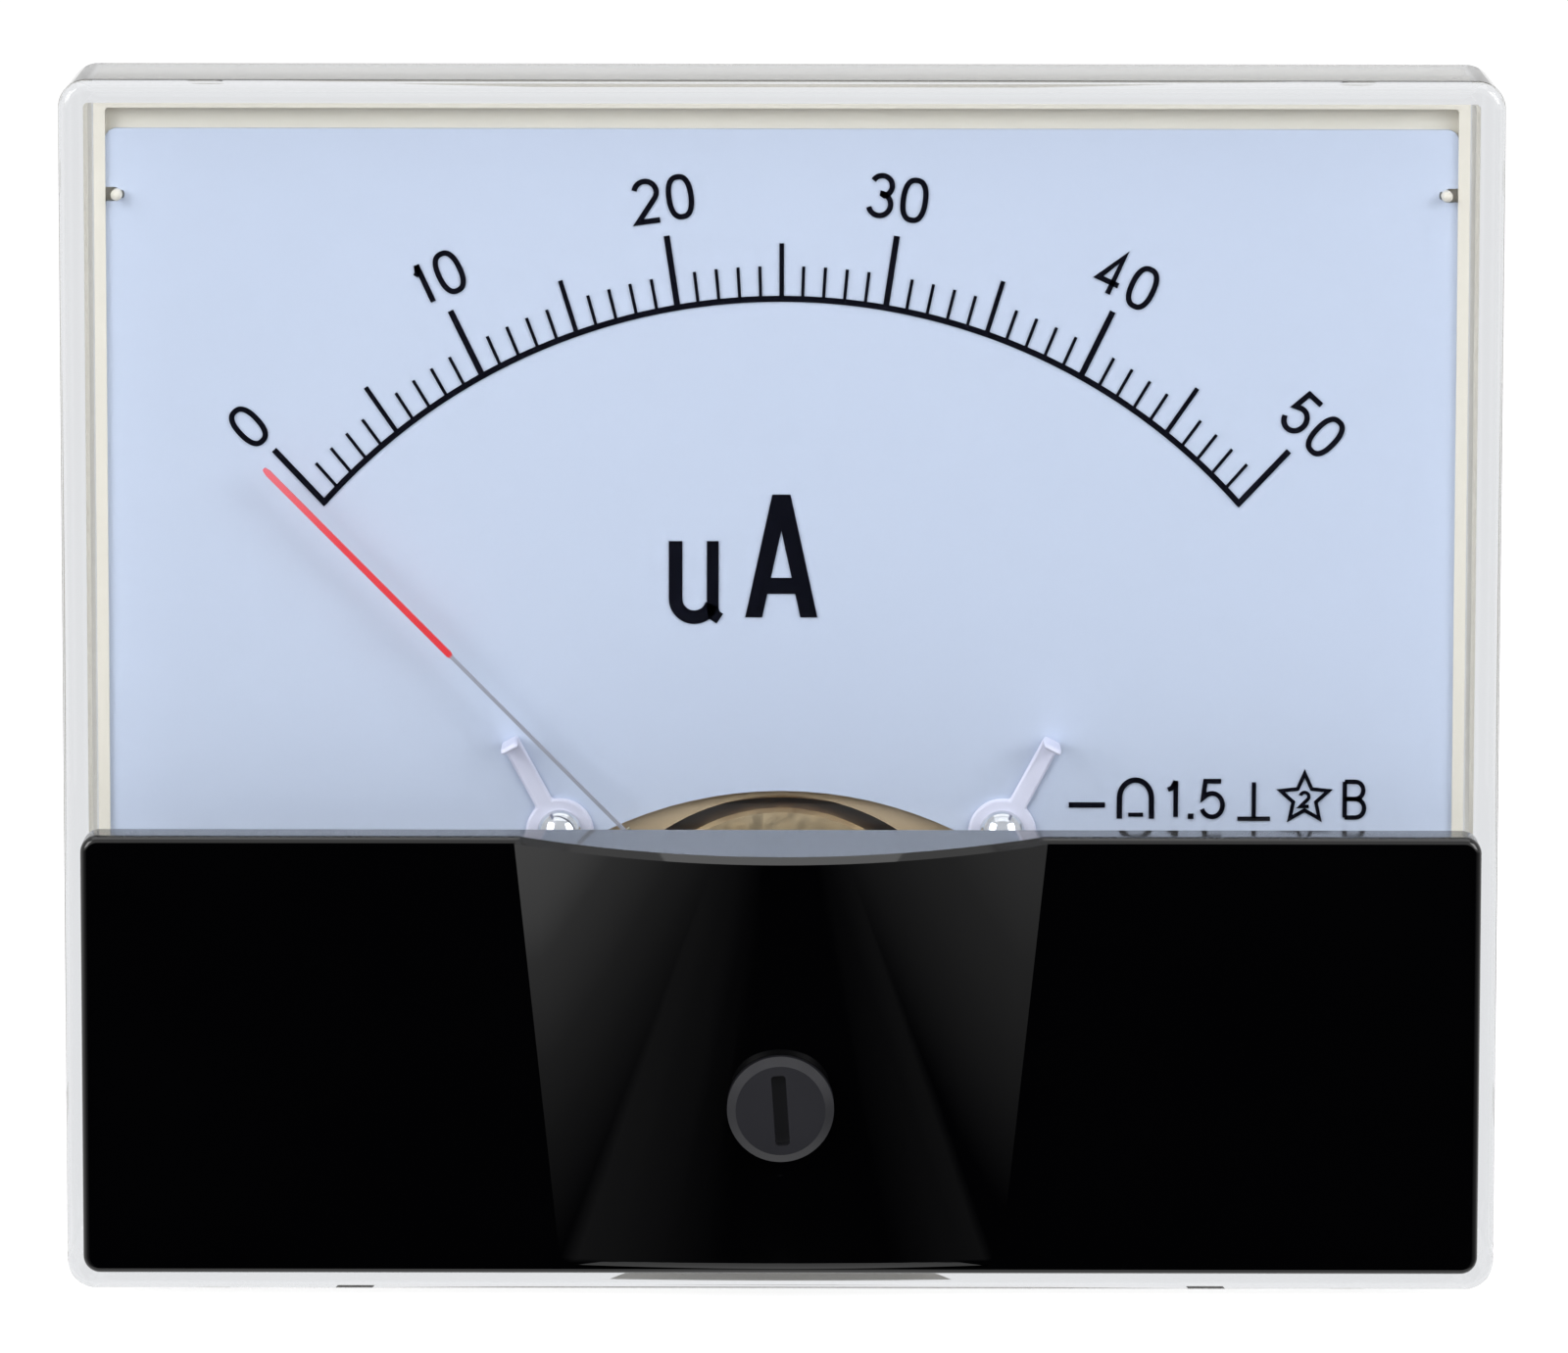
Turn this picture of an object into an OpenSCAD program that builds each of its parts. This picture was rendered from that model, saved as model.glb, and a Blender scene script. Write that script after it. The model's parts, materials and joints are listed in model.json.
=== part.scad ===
// Analog panel meter of the moving-coil kind, with a clear cover, a printed dial
// and a black lower mask that carries the zero adjuster.
// X is to the right and Z is up. The dial looks along -Y. The origin is on the
// barrel's axis, in the plane where the flange meets the panel.

/* [Front cover] */
// Width of the clear cover
cover_w = 100; // [96:1:112]
// Height of the clear cover
cover_h = 85; // [83:1:96]
// Depth from the panel to the outside of the window
cover_depth = 14; // [13.6:0.1:17]
// Thickness of the side walls
cover_wall = 1.7; // [1.2:0.1:2.4]
// Thickness of the window
window_t = 2; // [1.2:0.1:2.4]
// Radius of the cover's four corners
cover_corner_r = 2; // [1:0.1:3]
// Rounding of the cover's front edge
cover_edge_r = 0.8; // [0.3:0.1:1.2]

/* [Mask] */
// Strip of clear cover left at each side of the mask
mask_side_gap = 1.35; // [0.8:0.05:3]
// Strip of clear cover left below the mask
mask_foot_gap = 1.8; // [1:0.1:3]
// Height of the mask's top edge above the pointer's pivot
mask_above_pivot = 12.3; // [11:0.1:13]
// Thickness of the mask
mask_t = 3.2; // [2.4:0.1:4]
// Radius of the mask's corners
mask_corner_r = 1.2; // [0.6:0.1:2]
// Rounding of the mask's front edge
mask_edge_r = 0.5; // [0.2:0.1:0.8]
// Radius of the pegs that rivet the mask to the cover
peg_r = 1.2; // [0.9:0.1:1.4]

/* [Bulge] */
// Half width of the bulge at the top
bulge_top_hw = 18.5; // [16:0.5:20]
// Half width of the bulge at the bottom
bulge_foot_hw = 15.4; // [14:0.2:16]
// How far the bulge stands out at the top
bulge_top_out = 9.2; // [8:0.2:12]
// How far the bulge stands out at the bottom
bulge_foot_out = 2; // [1:0.2:3]
// Wall of the bulge
bulge_wall = 2; // [1.5:0.1:2.4]

/* [Zero adjuster] */
// Radius of the adjuster's head
adjuster_r = 3.7; // [3:0.1:4.2]
// Length of the adjuster's head
adjuster_head = 3.3; // [2.6:0.1:4]
// Radius of the adjuster's shank
shank_r = 2; // [1.6:0.1:2.2]
// Distance from the pointer's pivot down to the adjuster's axis
adjuster_drop = 5.7; // [5.4:0.1:6.2]
// Offset of the eccentric pin
pin_offset = 1.1; // [0.8:0.05:1.3]
// Radius of the eccentric pin
pin_r = 0.5; // [0.4:0.05:0.55]
// Width of the screwdriver slot
slot_w = 1; // [0.7:0.1:1.4]
// Length of the screwdriver slot
slot_len = 4.9; // [3:0.1:5.2]
// Lean of the slot
slot_lean = 4; // [-20:1:20]

/* [Base] */
// Thickness of the base's flange
flange_t = 3.2; // [2.6:0.1:3.6]
// Radius of the rear barrel
barrel_r = 38; // [37.4:0.1:39]
// Length of the rear barrel
barrel_len = 28; // [26:0.5:36]
// Wall of the barrel
barrel_wall = 2.2; // [1.6:0.1:2.4]
// Thickness of the barrel's rear wall
rear_wall = 2.5; // [2:0.1:4]
// Thickness of the rim round the dial
rim_t = 0.8; // [0.5:0.1:1.2]
// Distance of the panel studs in from the cover's sides, top and foot
stud_inset = 9; // [8:0.1:10]
// Radius of the panel studs
stud_r = 1.5; // [1.2:0.1:2]
// Length of the panel studs behind the panel plane
stud_len = 14; // [8:0.5:20]

/* [Terminals] */
// Distance between the two terminals
terminal_span = 32; // [28:1:40]
// Height of the terminals above the barrel's axis
terminal_up = 8; // [4:0.5:14]
// Radius of the terminal studs
terminal_r = 2; // [1.5:0.1:2.5]
// Length of the terminal studs behind the rear wall
terminal_len = 15; // [13.5:0.5:20]
// Across flats of the terminal nuts
nut_af = 7; // [6.4:0.1:8]
// Thickness of the terminal nuts
nut_t = 3.2; // [2:0.1:3.4]

/* [Dial] */
// Thickness of the dial plate
dial_t = 0.8; // [0.5:0.1:1]
// Space above the dial, inside the rim
dial_head_gap = 1.5; // [0.3:0.1:3]
// Depth of the dial plate's legs below the pivot
dial_foot = 3.9; // [1:0.1:8]
// Radius of the dial's arched cut-out
arch_r = 28.2; // [27:0.1:31]
// Height of the arched cut-out above the pivot
arch_up = 13.6; // [12.8:0.1:13.8]

/* [Scale] */
// Radius of the scale's arc
scale_r = 43; // [41:0.5:44]
// Height of the arc's centre above the pivot
scale_lift = 5.5; // [0:0.5:6]
// Half of the angle that the divisions span
scale_half = 43.3; // [40:0.1:44]
// Number of divisions
divisions = 50; // [40:10:60]
// Length of the shortest marks
mark_len = 2.3; // [1.5:0.1:3]
// Length of the fifth marks
mark_five = 3.9; // [3:0.1:4.4]
// Length of the tenth marks
mark_ten = 5.1; // [4:0.1:6]
// Width of the shortest marks
mark_w = 0.22; // [0.15:0.01:0.3]
// Width of the tenth marks and of the arc
bold_w = 0.42; // [0.25:0.01:0.5]

/* [Movement] */
// Distance from the barrel's axis down to the pointer's pivot
pivot_drop = 22.1; // [21.6:0.1:22.4]
// Radius of the magnet core
core_r = 7.8; // [7:0.1:7.9]
// Length of the magnet core
core_len = 11.8; // [10:0.1:12]
// Inner radius of the yoke ring
yoke_bore_r = 10.2; // [10.1:0.1:10.5]
// Outer radius of the yoke ring
yoke_r = 12.2; // [11.6:0.1:12.4]
// Length of the yoke ring
yoke_len = 13; // [12:0.1:14]
// Radius of the well in the movement frame
well_r = 20.6; // [20.2:0.1:21.2]
// Wall of the well
well_wall = 1.6; // [1.2:0.1:2]
// Thickness of the frame's front plate and floor
frame_t = 2; // [1.6:0.1:2.4]

/* [Pointer] */
// Length of the pointer from its pivot
pointer_len = 51.6; // [49:0.1:54]
// Length of the coloured end of the pointer
pointer_tip_len = 18.7; // [10:0.1:24]
// Width of the coloured end
pointer_tip_w = 0.42; // [0.3:0.02:0.6]
// Width of the rest of the pointer
pointer_w = 0.24; // [0.2:0.02:0.4]
// Height of the pointer's middle above the dial
pointer_lift = 2.4; // [2.3:0.05:2.8]
// Radius at which the pointer's socket ends
socket_reach = 15.6; // [12:0.1:18]
// Angle of the resting pointer from straight up
rest_angle = 44.6; // [42:0.1:45]

/* [Hidden] */
$fn = 64;
// Part of the file's own play and fits
sits = 0.2;       // clearance between parts that are dropped into place
turns = 0.05;     // radial clearance of a part that turns
clears = 0.1;     // clearance of pins, screws and faces that pass each other
skin = 0.1;       // thickness of printed marks
step = 0.01;      // overreach of a cut past the face that it opens

// Planes from the panel forward
dial_face = -(flange_t + dial_t);
window_face = -cover_depth;
window_back = window_face + window_t;
mask_face = window_face - mask_t;

// Inside of the cover and what nests in it
inner_hw = cover_w / 2 - cover_wall;
inner_hh = cover_h / 2 - cover_wall;
flange_hw = inner_hw - sits;
flange_hh = inner_hh - sits;
inner_corner_r = max(cover_corner_r - cover_wall, 0.3);
rim_front = dial_face - 0.4;
dial_hw = flange_hw - rim_t - sits;
dial_top = flange_hh - rim_t - dial_head_gap;
barrel_bore_r = barrel_r - barrel_wall;
rear_inside = barrel_len - rear_wall;

// Pivot, mask and bulge heights
pivot_z = -pivot_drop;
mask_top = pivot_z + mask_above_pivot;
mask_foot = -cover_h / 2 + mask_foot_gap;
mask_hw = cover_w / 2 - mask_side_gap;
bulge_foot = mask_foot + 0.7;
adjuster_z = pivot_z - adjuster_drop;
bulge_rise = (adjuster_z - bulge_foot) / (mask_top - bulge_foot);
bulge_out = bulge_foot_out + (bulge_top_out - bulge_foot_out) * bulge_rise;
pocket_floor = mask_face - bulge_out + 1.3;
boss_back = pocket_floor + 3.5;
adjuster_boss_r = adjuster_r + 1.5;
opening_hw = bulge_foot_hw - bulge_wall - 0.9;
peg_x = mask_hw - 8.6;
peg_rise = 4.6;

// Dial details
dial_foot_z = pivot_z - dial_foot;
arch_z = pivot_z + arch_up - arch_r;
locator_r = 0.4;
locator_x = dial_hw - 0.6;
locator_z = dial_top - 4.6;
locator_front = dial_face - 1.2;
dial_screw_x = 15.6;
dial_screw_z = pivot_z + 10.7;
dial_screw_r = 1;
screw_head_r = 1.6;
screw_head_t = 1.2;
dial_screw_len = 7;
dial_boss_r = 2.4;
dial_boss_len = 10;

// Pointer stops
stop_t = 0.4;
stop_w = 1.3;
stop_len = 7.5;
stop_lean = 28.4;
stop_eye_r = 2.4;
stop_front = dial_face - pointer_lift - 1.4;

// Movement frame and magnet
frame_front = -flange_t;
well_z = pivot_z + arch_up - 0.9 - well_r;
brow_r = 15;
brow_z = pivot_z + arch_up - 0.45 - brow_r;
brow_foot = pivot_z + 5.5;
yoke_front = frame_front + 0.2;
yoke_back = yoke_front + yoke_len;
floor_back = yoke_back + frame_t;
seat_depth = 0.6;
core_front = yoke_front + (yoke_len - core_len) / 2;
core_back = core_front + core_len;
core_bore_r = 1.2;
spacer_inset = 3;
spacer_w = 4.8;
yoke_pin_r = 0.5;
yoke_pin_angle = 28.5;
yoke_pin_at = (yoke_bore_r + yoke_r) / 2;

// Coil: a channel-shaped former with its winding
coil_gap = 0.5;
former_t = 0.3;
winding_t = 0.6;
winding_w = 3.2;
coil_t = former_t + winding_t;
coil_w = winding_w + 2 * former_t;
coil_in = core_r + coil_gap;
coil_out = coil_in + coil_t;
coil_front = core_front - coil_gap;
coil_back = core_back + coil_gap;

// Turning stack in front of the coil
staff_r = 0.9;
collet_r = 0.95;
tip_r = 0.3;
boss_r = 2.4;
boss_t = 0.8;
shoulder_r = 1.5;
cross_t = 0.4;
cross_hub_r = 2.2;
cross_arm_w = 0.6;
cross_reach = 6.8;
weight_at = 4.4;
weight_len = 1.5;
weight_r = 0.65;
socket_t = 0.7;
pointer_t = 0.5;
pointer_y = dial_face - pointer_lift;
socket_back = pointer_y + socket_t / 2;
cross_back = socket_back + cross_t;
spring_h = 0.4;
spring_w = 0.12;
spring_pitch = 0.75;
spring_start = 1.3;
spring_halves = 8;
spring_y = pointer_y - socket_t / 2 - 0.75;
collet_front = spring_y - spring_h;
bridge_t = 1.1;
bridge_back = collet_front - 0.5;
bridge_front = bridge_back - bridge_t;
bridge_w = 5;
bridge_post_x = yoke_r + 1.8;
post_r = 1.6;
tenon_r = 1;
tenon_len = 1;
bridge_screw_r = 0.8;
bridge_head_r = 1.5;
bridge_head_t = 0.9;
bridge_screw_len = 5;
tip_front = bridge_back - 0.35;
jewel_r = 0.75;
jewel_t = 0.6;
jewel_screw_r = 1.25;
jewel_mouth = bridge_back + clears;
lever_t = 0.5;
lever_back = bridge_front - clears;
lever_front = lever_back - lever_t;
locknut_back = lever_front - clears;
locknut_t = 0.8;
jewel_screw_front = locknut_back - locknut_t - 0.4;
spring_end = spring_start + spring_pitch / 2 * spring_halves;
tab_in = spring_end + 0.3;
tab_t = 0.4;
tab_w = 1.2;
pin_tip = lever_back + 0.2;

// Turning stack behind the coil
rear_boss_back = coil_back + coil_t + boss_t;
rear_spring_y = rear_boss_back + 1.35;
rear_collet_back = rear_spring_y + spring_h;
rear_tip_back = rear_collet_back + 0.85;
rear_bridge_front = rear_collet_back + 0.5;
rear_bridge_back = rear_bridge_front + bridge_t;
rear_post_x = 13.5;
rear_post_r = 2.2;
rear_screw_r = 1;
rear_head_r = 1.9;
rear_head_t = 1.1;
rear_screw_bite = 0.4;
rear_jewel_screw_back = rear_bridge_back + 2;

// Fastenings of the movement and of the cover
low_boss_x = 16;
low_boss_z = pivot_z - 5.9;
high_boss_x = 26;
high_boss_z = pivot_z + 14.1;
boss_wall_r = 3.2;
plate_margin = boss_wall_r + 0.7;
plate_hw = high_boss_x + plate_margin + 0.1;
plate_drop = 3;
frame_edge_r = barrel_bore_r - sits - 0.3;
movement_screw_r = 1.2;
movement_head_r = 2.2;
movement_head_t = 1.3;
movement_screw_len = 8;
screw_spare = 3;
flush_screw_len = 10;
flush_rim = 0.1;
flush_head_t = 1.2;
flush_slot_w = 0.6;
flush_slot_t = 0.6;
cover_screw_x = 30;
cover_screw_z = -inner_hh + 3.4;
cover_screw_r = 1.2;
cover_head_r = 2.3;
cover_head_t = 1.1;
cover_boss_r = 2.6;
cover_screw_len = 8;
stud_head_r = 2.7;
stud_head_t = 1.2;
stud_shoulder_r = stud_r + 0.4;
stud_lead = 0.5;
stud_x = cover_w / 2 - stud_inset;
stud_z = cover_h / 2 - stud_inset;
rear_pad_t = 1.5;
rear_pad_r = 6;
washer_t = 0.8;
spring_washer_t = 1.1;
tag_t = 0.5;
tag_w = 3;
tag_leg = 5;
tag_hole_r = 0.7;
terminal_head_t = 2.4;
terminal_x = terminal_span / 2;
pad_back = barrel_len + rear_pad_t;
first_nut_back = pad_back + nut_t;
washer_back = first_nut_back + washer_t;
spring_washer_back = washer_back + spring_washer_t;
last_nut_back = spring_washer_back + nut_t;
groove_w = 0.8;

// ---------- helpers ----------

// Extrudes a drawing of the X-Z plane from y0 back to y1
module slab(y0, y1) {
    translate([0, y1, 0])
        rotate([90, 0, 0])
            linear_extrude(y1 - y0)
                children();
}

// A round bar along Y
module bar(r, y0, y1) {
    translate([0, y1, 0])
        rotate([90, 0, 0])
            cylinder(r = r, h = y1 - y0);
}

// A cone frustum along Y, with its radius at each end
module taper(r0, r1, y0, y1) {
    translate([0, y1, 0])
        rotate([90, 0, 0])
            cylinder(r1 = r1, r2 = r0, h = y1 - y0);
}

module at(x, z) {
    translate([x, 0, z])
        children();
}

module both_sides() {
    children();
    mirror([1, 0, 0])
        children();
}

module at_pivot() {
    at(0, pivot_z)
        children();
}

// Turns what is drawn with the pointer straight up to where it rests
module at_rest() {
    at_pivot()
        rotate([0, -rest_angle, 0])
            children();
}

// Rectangle with round corners between heights z0 and z1
module rounded(hw, z0, z1, r) {
    translate([-hw, z0 + r])
        square([2 * hw, z1 - z0 - 2 * r]);
    translate([-hw + r, z0])
        square([2 * (hw - r), z1 - z0]);
    for (x = [-hw + r, hw - r], z = [z0 + r, z1 - r])
        translate([x, z])
            circle(r);
}

// Slab whose front edge is rounded, built from a few nested outlines
module soft_slab(hw, z0, z1, r, edge, y0, y1) {
    hull()
        for (a = [0 : 15 : 90]) {
            inset = edge * (1 - cos(a));
            slab(y0 + edge * (1 - sin(a)), y1)
                rounded(hw - inset, z0 + inset, z1 - inset, max(r - inset, 0.2));
        }
}

module hexagon(af) {
    circle(d = af / cos(30), $fn = 6);
}

// A pan-headed screw that enters from the front: the head sits at y
module pan_screw(r, head_r, head_t, len, y) {
    difference() {
        union() {
            bar(r, y - step, y + len);
            bar(head_r, y - head_t * 0.5, y);
            taper(head_r * 0.72, head_r, y - head_t, y - head_t * 0.5);
        }
        slab(y - head_t - step, y - head_t * 0.45)
            square([2.2 * head_r, head_r * 0.28], center = true);
    }
}

// A low domed screw head with a slot, seated at y, and its shank behind
module dome_screw(r, head_r, head_t, len, y) {
    edge = head_t * 0.25;
    rise = head_t - edge;
    dome_r = (head_r * head_r + rise * rise) / (2 * rise);
    difference() {
        union() {
            bar(r, y - step, y + len);
            intersection() {
                bar(head_r, y - head_t, y);
                translate([0, y - head_t + dome_r, 0])
                    sphere(dome_r);
            }
        }
        slab(y - head_t - step, y - head_t * 0.42)
            square([2.2 * head_r, head_r * 0.28], center = true);
    }
}

// Half turns of growing radius, on two centres in turn: a flat spiral spring
module flat_spring(y) {
    half = spring_pitch / 2;
    slab(y - spring_h / 2, y + spring_h / 2)
        for (k = [0 : spring_halves - 1]) {
            r = spring_start + k * half;
            side = k % 2;
            translate([0, side == 0 ? 0 : half])
                intersection() {
                    difference() {
                        circle(r + spring_w / 2);
                        circle(r - spring_w / 2);
                    }
                    translate([side == 0 ? 0 : -2 * r, -2 * r])
                        square([2 * r, 4 * r]);
                }
        }
}

// Staff, collet and pivot tip along Y, from the coil's end face outward
module turning_stack(face, shoulder, collet, tip, sign) {
    points = [
        [0, face], [boss_r, face], [boss_r, face + sign * boss_t],
        [shoulder_r, face + sign * boss_t], [shoulder_r, shoulder],
        [staff_r, shoulder], [staff_r, collet - sign * 2 * spring_h],
        [collet_r, collet - sign * 2 * spring_h], [collet_r, collet],
        [tip_r, collet], [tip_r, tip - sign * tip_r], [0.05, tip], [0, tip],
    ];
    rotate([90, 0, 0])
        rotate_extrude()
            polygon([for (p = points) [p[0], -p[1]]]);
}

// ---------- case ----------

module front_cover() {
    color("gainsboro", 0.4)
        difference() {
            union() {
                difference() {
                    soft_slab(cover_w / 2, -cover_h / 2, cover_h / 2, cover_corner_r,
                              cover_edge_r, window_face, 0);
                    slab(window_back, step)
                        rounded(inner_hw, -inner_hh, inner_hh, inner_corner_r);
                }
                both_sides()
                    at(cover_screw_x, cover_screw_z)
                        cover_boss();
            }
            slab(window_face - step, window_back + step)
                rounded(opening_hw, bulge_foot + 3, mask_top - 3, 1);
            both_sides()
                for (z = [mask_foot + peg_rise, mask_top - peg_rise])
                    at(peg_x, z)
                        bar(peg_r + clears, window_face - step, window_back + step);
            both_sides()
                at(cover_screw_x, cover_screw_z)
                    bar(cover_screw_r + turns, -cover_screw_len - 0.5, 0);
        }
}

// Screw boss joined to the cover's lower wall by a web
module cover_boss() {
    bar(cover_boss_r, window_back - step, -flange_t);
    slab(window_back - step, -flange_t)
        translate([-cover_boss_r / 2, -inner_hh - cover_screw_z - step])
            square([cover_boss_r, inner_hh + cover_screw_z]);
}

// Outline of the bulge seen from above: a parabola on a flat back
function bulge_outline(hw, out, back) = concat(
    [for (i = [-12 : 12]) [hw * i / 12, -out * (1 - pow(i / 12, 2))]],
    [[hw, back], [-hw, back]]
);

module bulge_section(z, hw, out, back) {
    translate([0, mask_face, z])
        linear_extrude(step)
            polygon(bulge_outline(hw, out, back));
}

// Rounding stays small, so that the shelf on top keeps a crisp lip
module bulge_shell() {
    lip = 0.5;
    hull() {
        bulge_section(mask_top - step, bulge_top_hw - lip, bulge_top_out - lip, mask_t / 2);
        bulge_section(mask_top - lip, bulge_top_hw, bulge_top_out, mask_t / 2);
        bulge_section(bulge_foot + lip, bulge_foot_hw, bulge_foot_out, mask_t / 2);
        bulge_section(bulge_foot, bulge_foot_hw - lip, bulge_foot_out - lip, mask_t / 2);
    }
}

module bulge_hollow() {
    hull() {
        bulge_section(mask_top - bulge_wall, bulge_top_hw - bulge_wall,
                      bulge_top_out - bulge_wall, mask_t + 1);
        bulge_section(bulge_foot + bulge_wall, bulge_foot_hw - bulge_wall,
                      max(bulge_foot_out - bulge_wall, 0), mask_t + 1);
    }
}

module mask() {
    color("black")
        difference() {
            union() {
                difference() {
                    union() {
                        soft_slab(mask_hw, mask_foot, mask_top, mask_corner_r,
                                  mask_edge_r, mask_face, window_face);
                        bulge_shell();
                    }
                    bulge_hollow();
                }
                at(0, adjuster_z)
                    bar(adjuster_boss_r, pocket_floor, boss_back);
                both_sides()
                    for (z = [mask_foot + peg_rise, mask_top - peg_rise])
                        at(peg_x, z)
                            mask_peg();
            }
            at(0, adjuster_z) {
                bar(adjuster_r + turns, mask_face - bulge_top_out - 5, pocket_floor);
                bar(shank_r + turns, pocket_floor - step, boss_back + step);
            }
        }
}

// Peg through the cover, with its end spread inside
module mask_peg() {
    bar(peg_r, window_face - step, window_back + 0.2);
    taper(peg_r + 0.6, peg_r, window_back, window_back + 0.6);
}

// Flange, barrel and rear wall, with every boss that the movement stands on
module base() {
    color("ivory")
        difference() {
            union() {
                difference() {
                    union() {
                        slab(-flange_t, 0)
                            rounded(flange_hw, -flange_hh, flange_hh, inner_corner_r);
                        bar(barrel_r, -step, barrel_len);
                    }
                    bar(barrel_bore_r, -flange_t - step, rear_inside);
                }
                dial_rim();
                both_sides() {
                    frame_boss(low_boss_x, low_boss_z, floor_back);
                    frame_boss(high_boss_x, high_boss_z, frame_front + frame_t);
                    at(terminal_x, terminal_up)
                        bar(rear_pad_r, barrel_len - step, pad_back);
                    at(locator_x, locator_z)
                        dial_locator();
                }
                polarity_marks();
            }
            both_sides() {
                at(low_boss_x, low_boss_z)
                    bar(movement_screw_r + turns, floor_back - step,
                        floor_back + movement_screw_len);
                at(high_boss_x, high_boss_z)
                    bar(movement_screw_r + turns, frame_front,
                        frame_front + flush_screw_len + 2);
                at(terminal_x, terminal_up)
                    bar(terminal_r + clears, rear_inside - step, pad_back + step);
                at(cover_screw_x, cover_screw_z)
                    cover_screw_seat();
                for (z = [-stud_z, stud_z])
                    at(stud_x, z)
                        stud_seat();
            }
        }
}

// Screw boss on the rear wall, with a web to the barrel
module frame_boss(x, z, y0) {
    reach = norm([x, z]);
    at(x, z)
        bar(boss_wall_r, y0, rear_inside + step);
    slab(y0 + 1, rear_inside + step)
        rotate(atan2(z, x))
            translate([reach, -1])
                square([barrel_bore_r + 0.5 - reach, 2]);
}

module dial_rim() {
    slab(rim_front, -flange_t + step)
        difference() {
            rounded(flange_hw, -flange_hh, flange_hh, inner_corner_r);
            rounded(flange_hw - rim_t, -flange_hh + rim_t, flange_hh - rim_t, 0.3);
            translate([0, -flange_hh])
                square([2 * cover_screw_x + 4 * cover_boss_r, 4 * cover_boss_r], center = true);
        }
}

// Round-ended peg that holds the dial's edge
module dial_locator() {
    bar(locator_r, locator_front + locator_r, -flange_t + step);
    translate([0, locator_front + locator_r, 0])
        sphere(locator_r);
}

module cover_screw_seat() {
    bar(cover_screw_r + clears, -flange_t - step, step);
    taper(cover_screw_r + clears, cover_head_r + clears, -flush_rim - cover_head_t,
          -flush_rim);
    bar(cover_head_r + clears, -flush_rim - step, step);
}

module stud_seat() {
    bar(stud_shoulder_r + turns, -flange_t - step, step);
    bar(stud_head_r + clears, -flange_t - step, stud_head_t - flange_t);
}

// Raised plus and minus signs beside the terminals
module polarity_marks() {
    slab(barrel_len - step, barrel_len + 0.5) {
        for (x = [-terminal_x, terminal_x])
            translate([x, terminal_up + rear_pad_r + 3.5])
                square([4, 0.9], center = true);
        translate([-terminal_x, terminal_up + rear_pad_r + 3.5])
            square([0.9, 4], center = true);
    }
}

// ---------- dial ----------

module dial_plate() {
    color("lightsteelblue")
        slab(dial_face, -flange_t)
            difference() {
                rounded(dial_hw, dial_foot_z, dial_top, 0.8);
                translate([0, arch_z])
                    circle(arch_r, $fn = 128);
                for (s = [-1, 1]) {
                    translate([s * dial_screw_x, dial_screw_z])
                        circle(dial_screw_r + clears);
                    translate([s * locator_x, locator_z])
                        circle(locator_r + clears);
                    translate([s * (locator_x + 1), locator_z])
                        square([2, 2 * (locator_r + clears)], center = true);
                }
            }
}

// Distance from the pivot to the scale's arc at an angle from straight up
function arc_reach(a) = scale_lift * cos(a) + sqrt(pow(scale_r, 2) - pow(scale_lift * sin(a), 2));
function arc_end_angle() = asin(arc_reach(scale_half) * sin(scale_half) / scale_r);

module scale_marks() {
    color("midnightblue")
        slab(dial_face - skin, dial_face)
            translate([0, pivot_z]) {
                scale_arc();
                for (i = [0 : divisions])
                    rotate(scale_half * (1 - 2 * i / divisions))
                        scale_mark(i, arc_reach(scale_half * (1 - 2 * i / divisions)));
            }
}

module scale_mark(i, reach) {
    ten = i % 10 == 0;
    five = i % 5 == 0;
    w = ten ? bold_w : five ? (mark_w + bold_w) / 2 : mark_w;
    len = ten ? mark_ten : five ? mark_five : mark_len;
    translate([-w / 2, reach - bold_w / 2])
        square([w, len + bold_w / 2]);
}

module scale_arc() {
    fan = 2 * scale_r;
    translate([0, scale_lift])
        intersection() {
            difference() {
                circle(scale_r + bold_w / 2, $fn = 180);
                circle(scale_r - bold_w / 2, $fn = 180);
            }
            polygon([
                [0, 0],
                [-fan * sin(arc_end_angle()), fan * cos(arc_end_angle())],
                [fan * sin(arc_end_angle()), fan * cos(arc_end_angle())],
            ]);
        }
}

// Strip with an eye under the dial screw and a tab that stops the pointer
module pointer_stop() {
    difference() {
        at(dial_screw_x, dial_screw_z)
            rotate([0, stop_lean, 0]) {
                slab(dial_face - stop_t, dial_face) {
                    circle(stop_eye_r);
                    translate([-stop_w / 2, 0])
                        square([stop_w, stop_len]);
                }
                slab(stop_front, dial_face - stop_t + step)
                    translate([-stop_w / 2, stop_len - stop_t])
                        square([stop_w, stop_t]);
            }
        at(dial_screw_x, dial_screw_z)
            bar(dial_screw_r + clears, dial_face - stop_t - step, dial_face + step);
    }
}

module left_pointer_stop() {
    color("white")
        mirror([1, 0, 0])
            pointer_stop();
}

module right_pointer_stop() {
    color("white")
        pointer_stop();
}

module dial_screws() {
    color("silver")
        both_sides()
            at(dial_screw_x, dial_screw_z)
                dome_screw(dial_screw_r, screw_head_r, screw_head_t, dial_screw_len,
                           dial_face - stop_t);
}

// ---------- movement ----------

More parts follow.
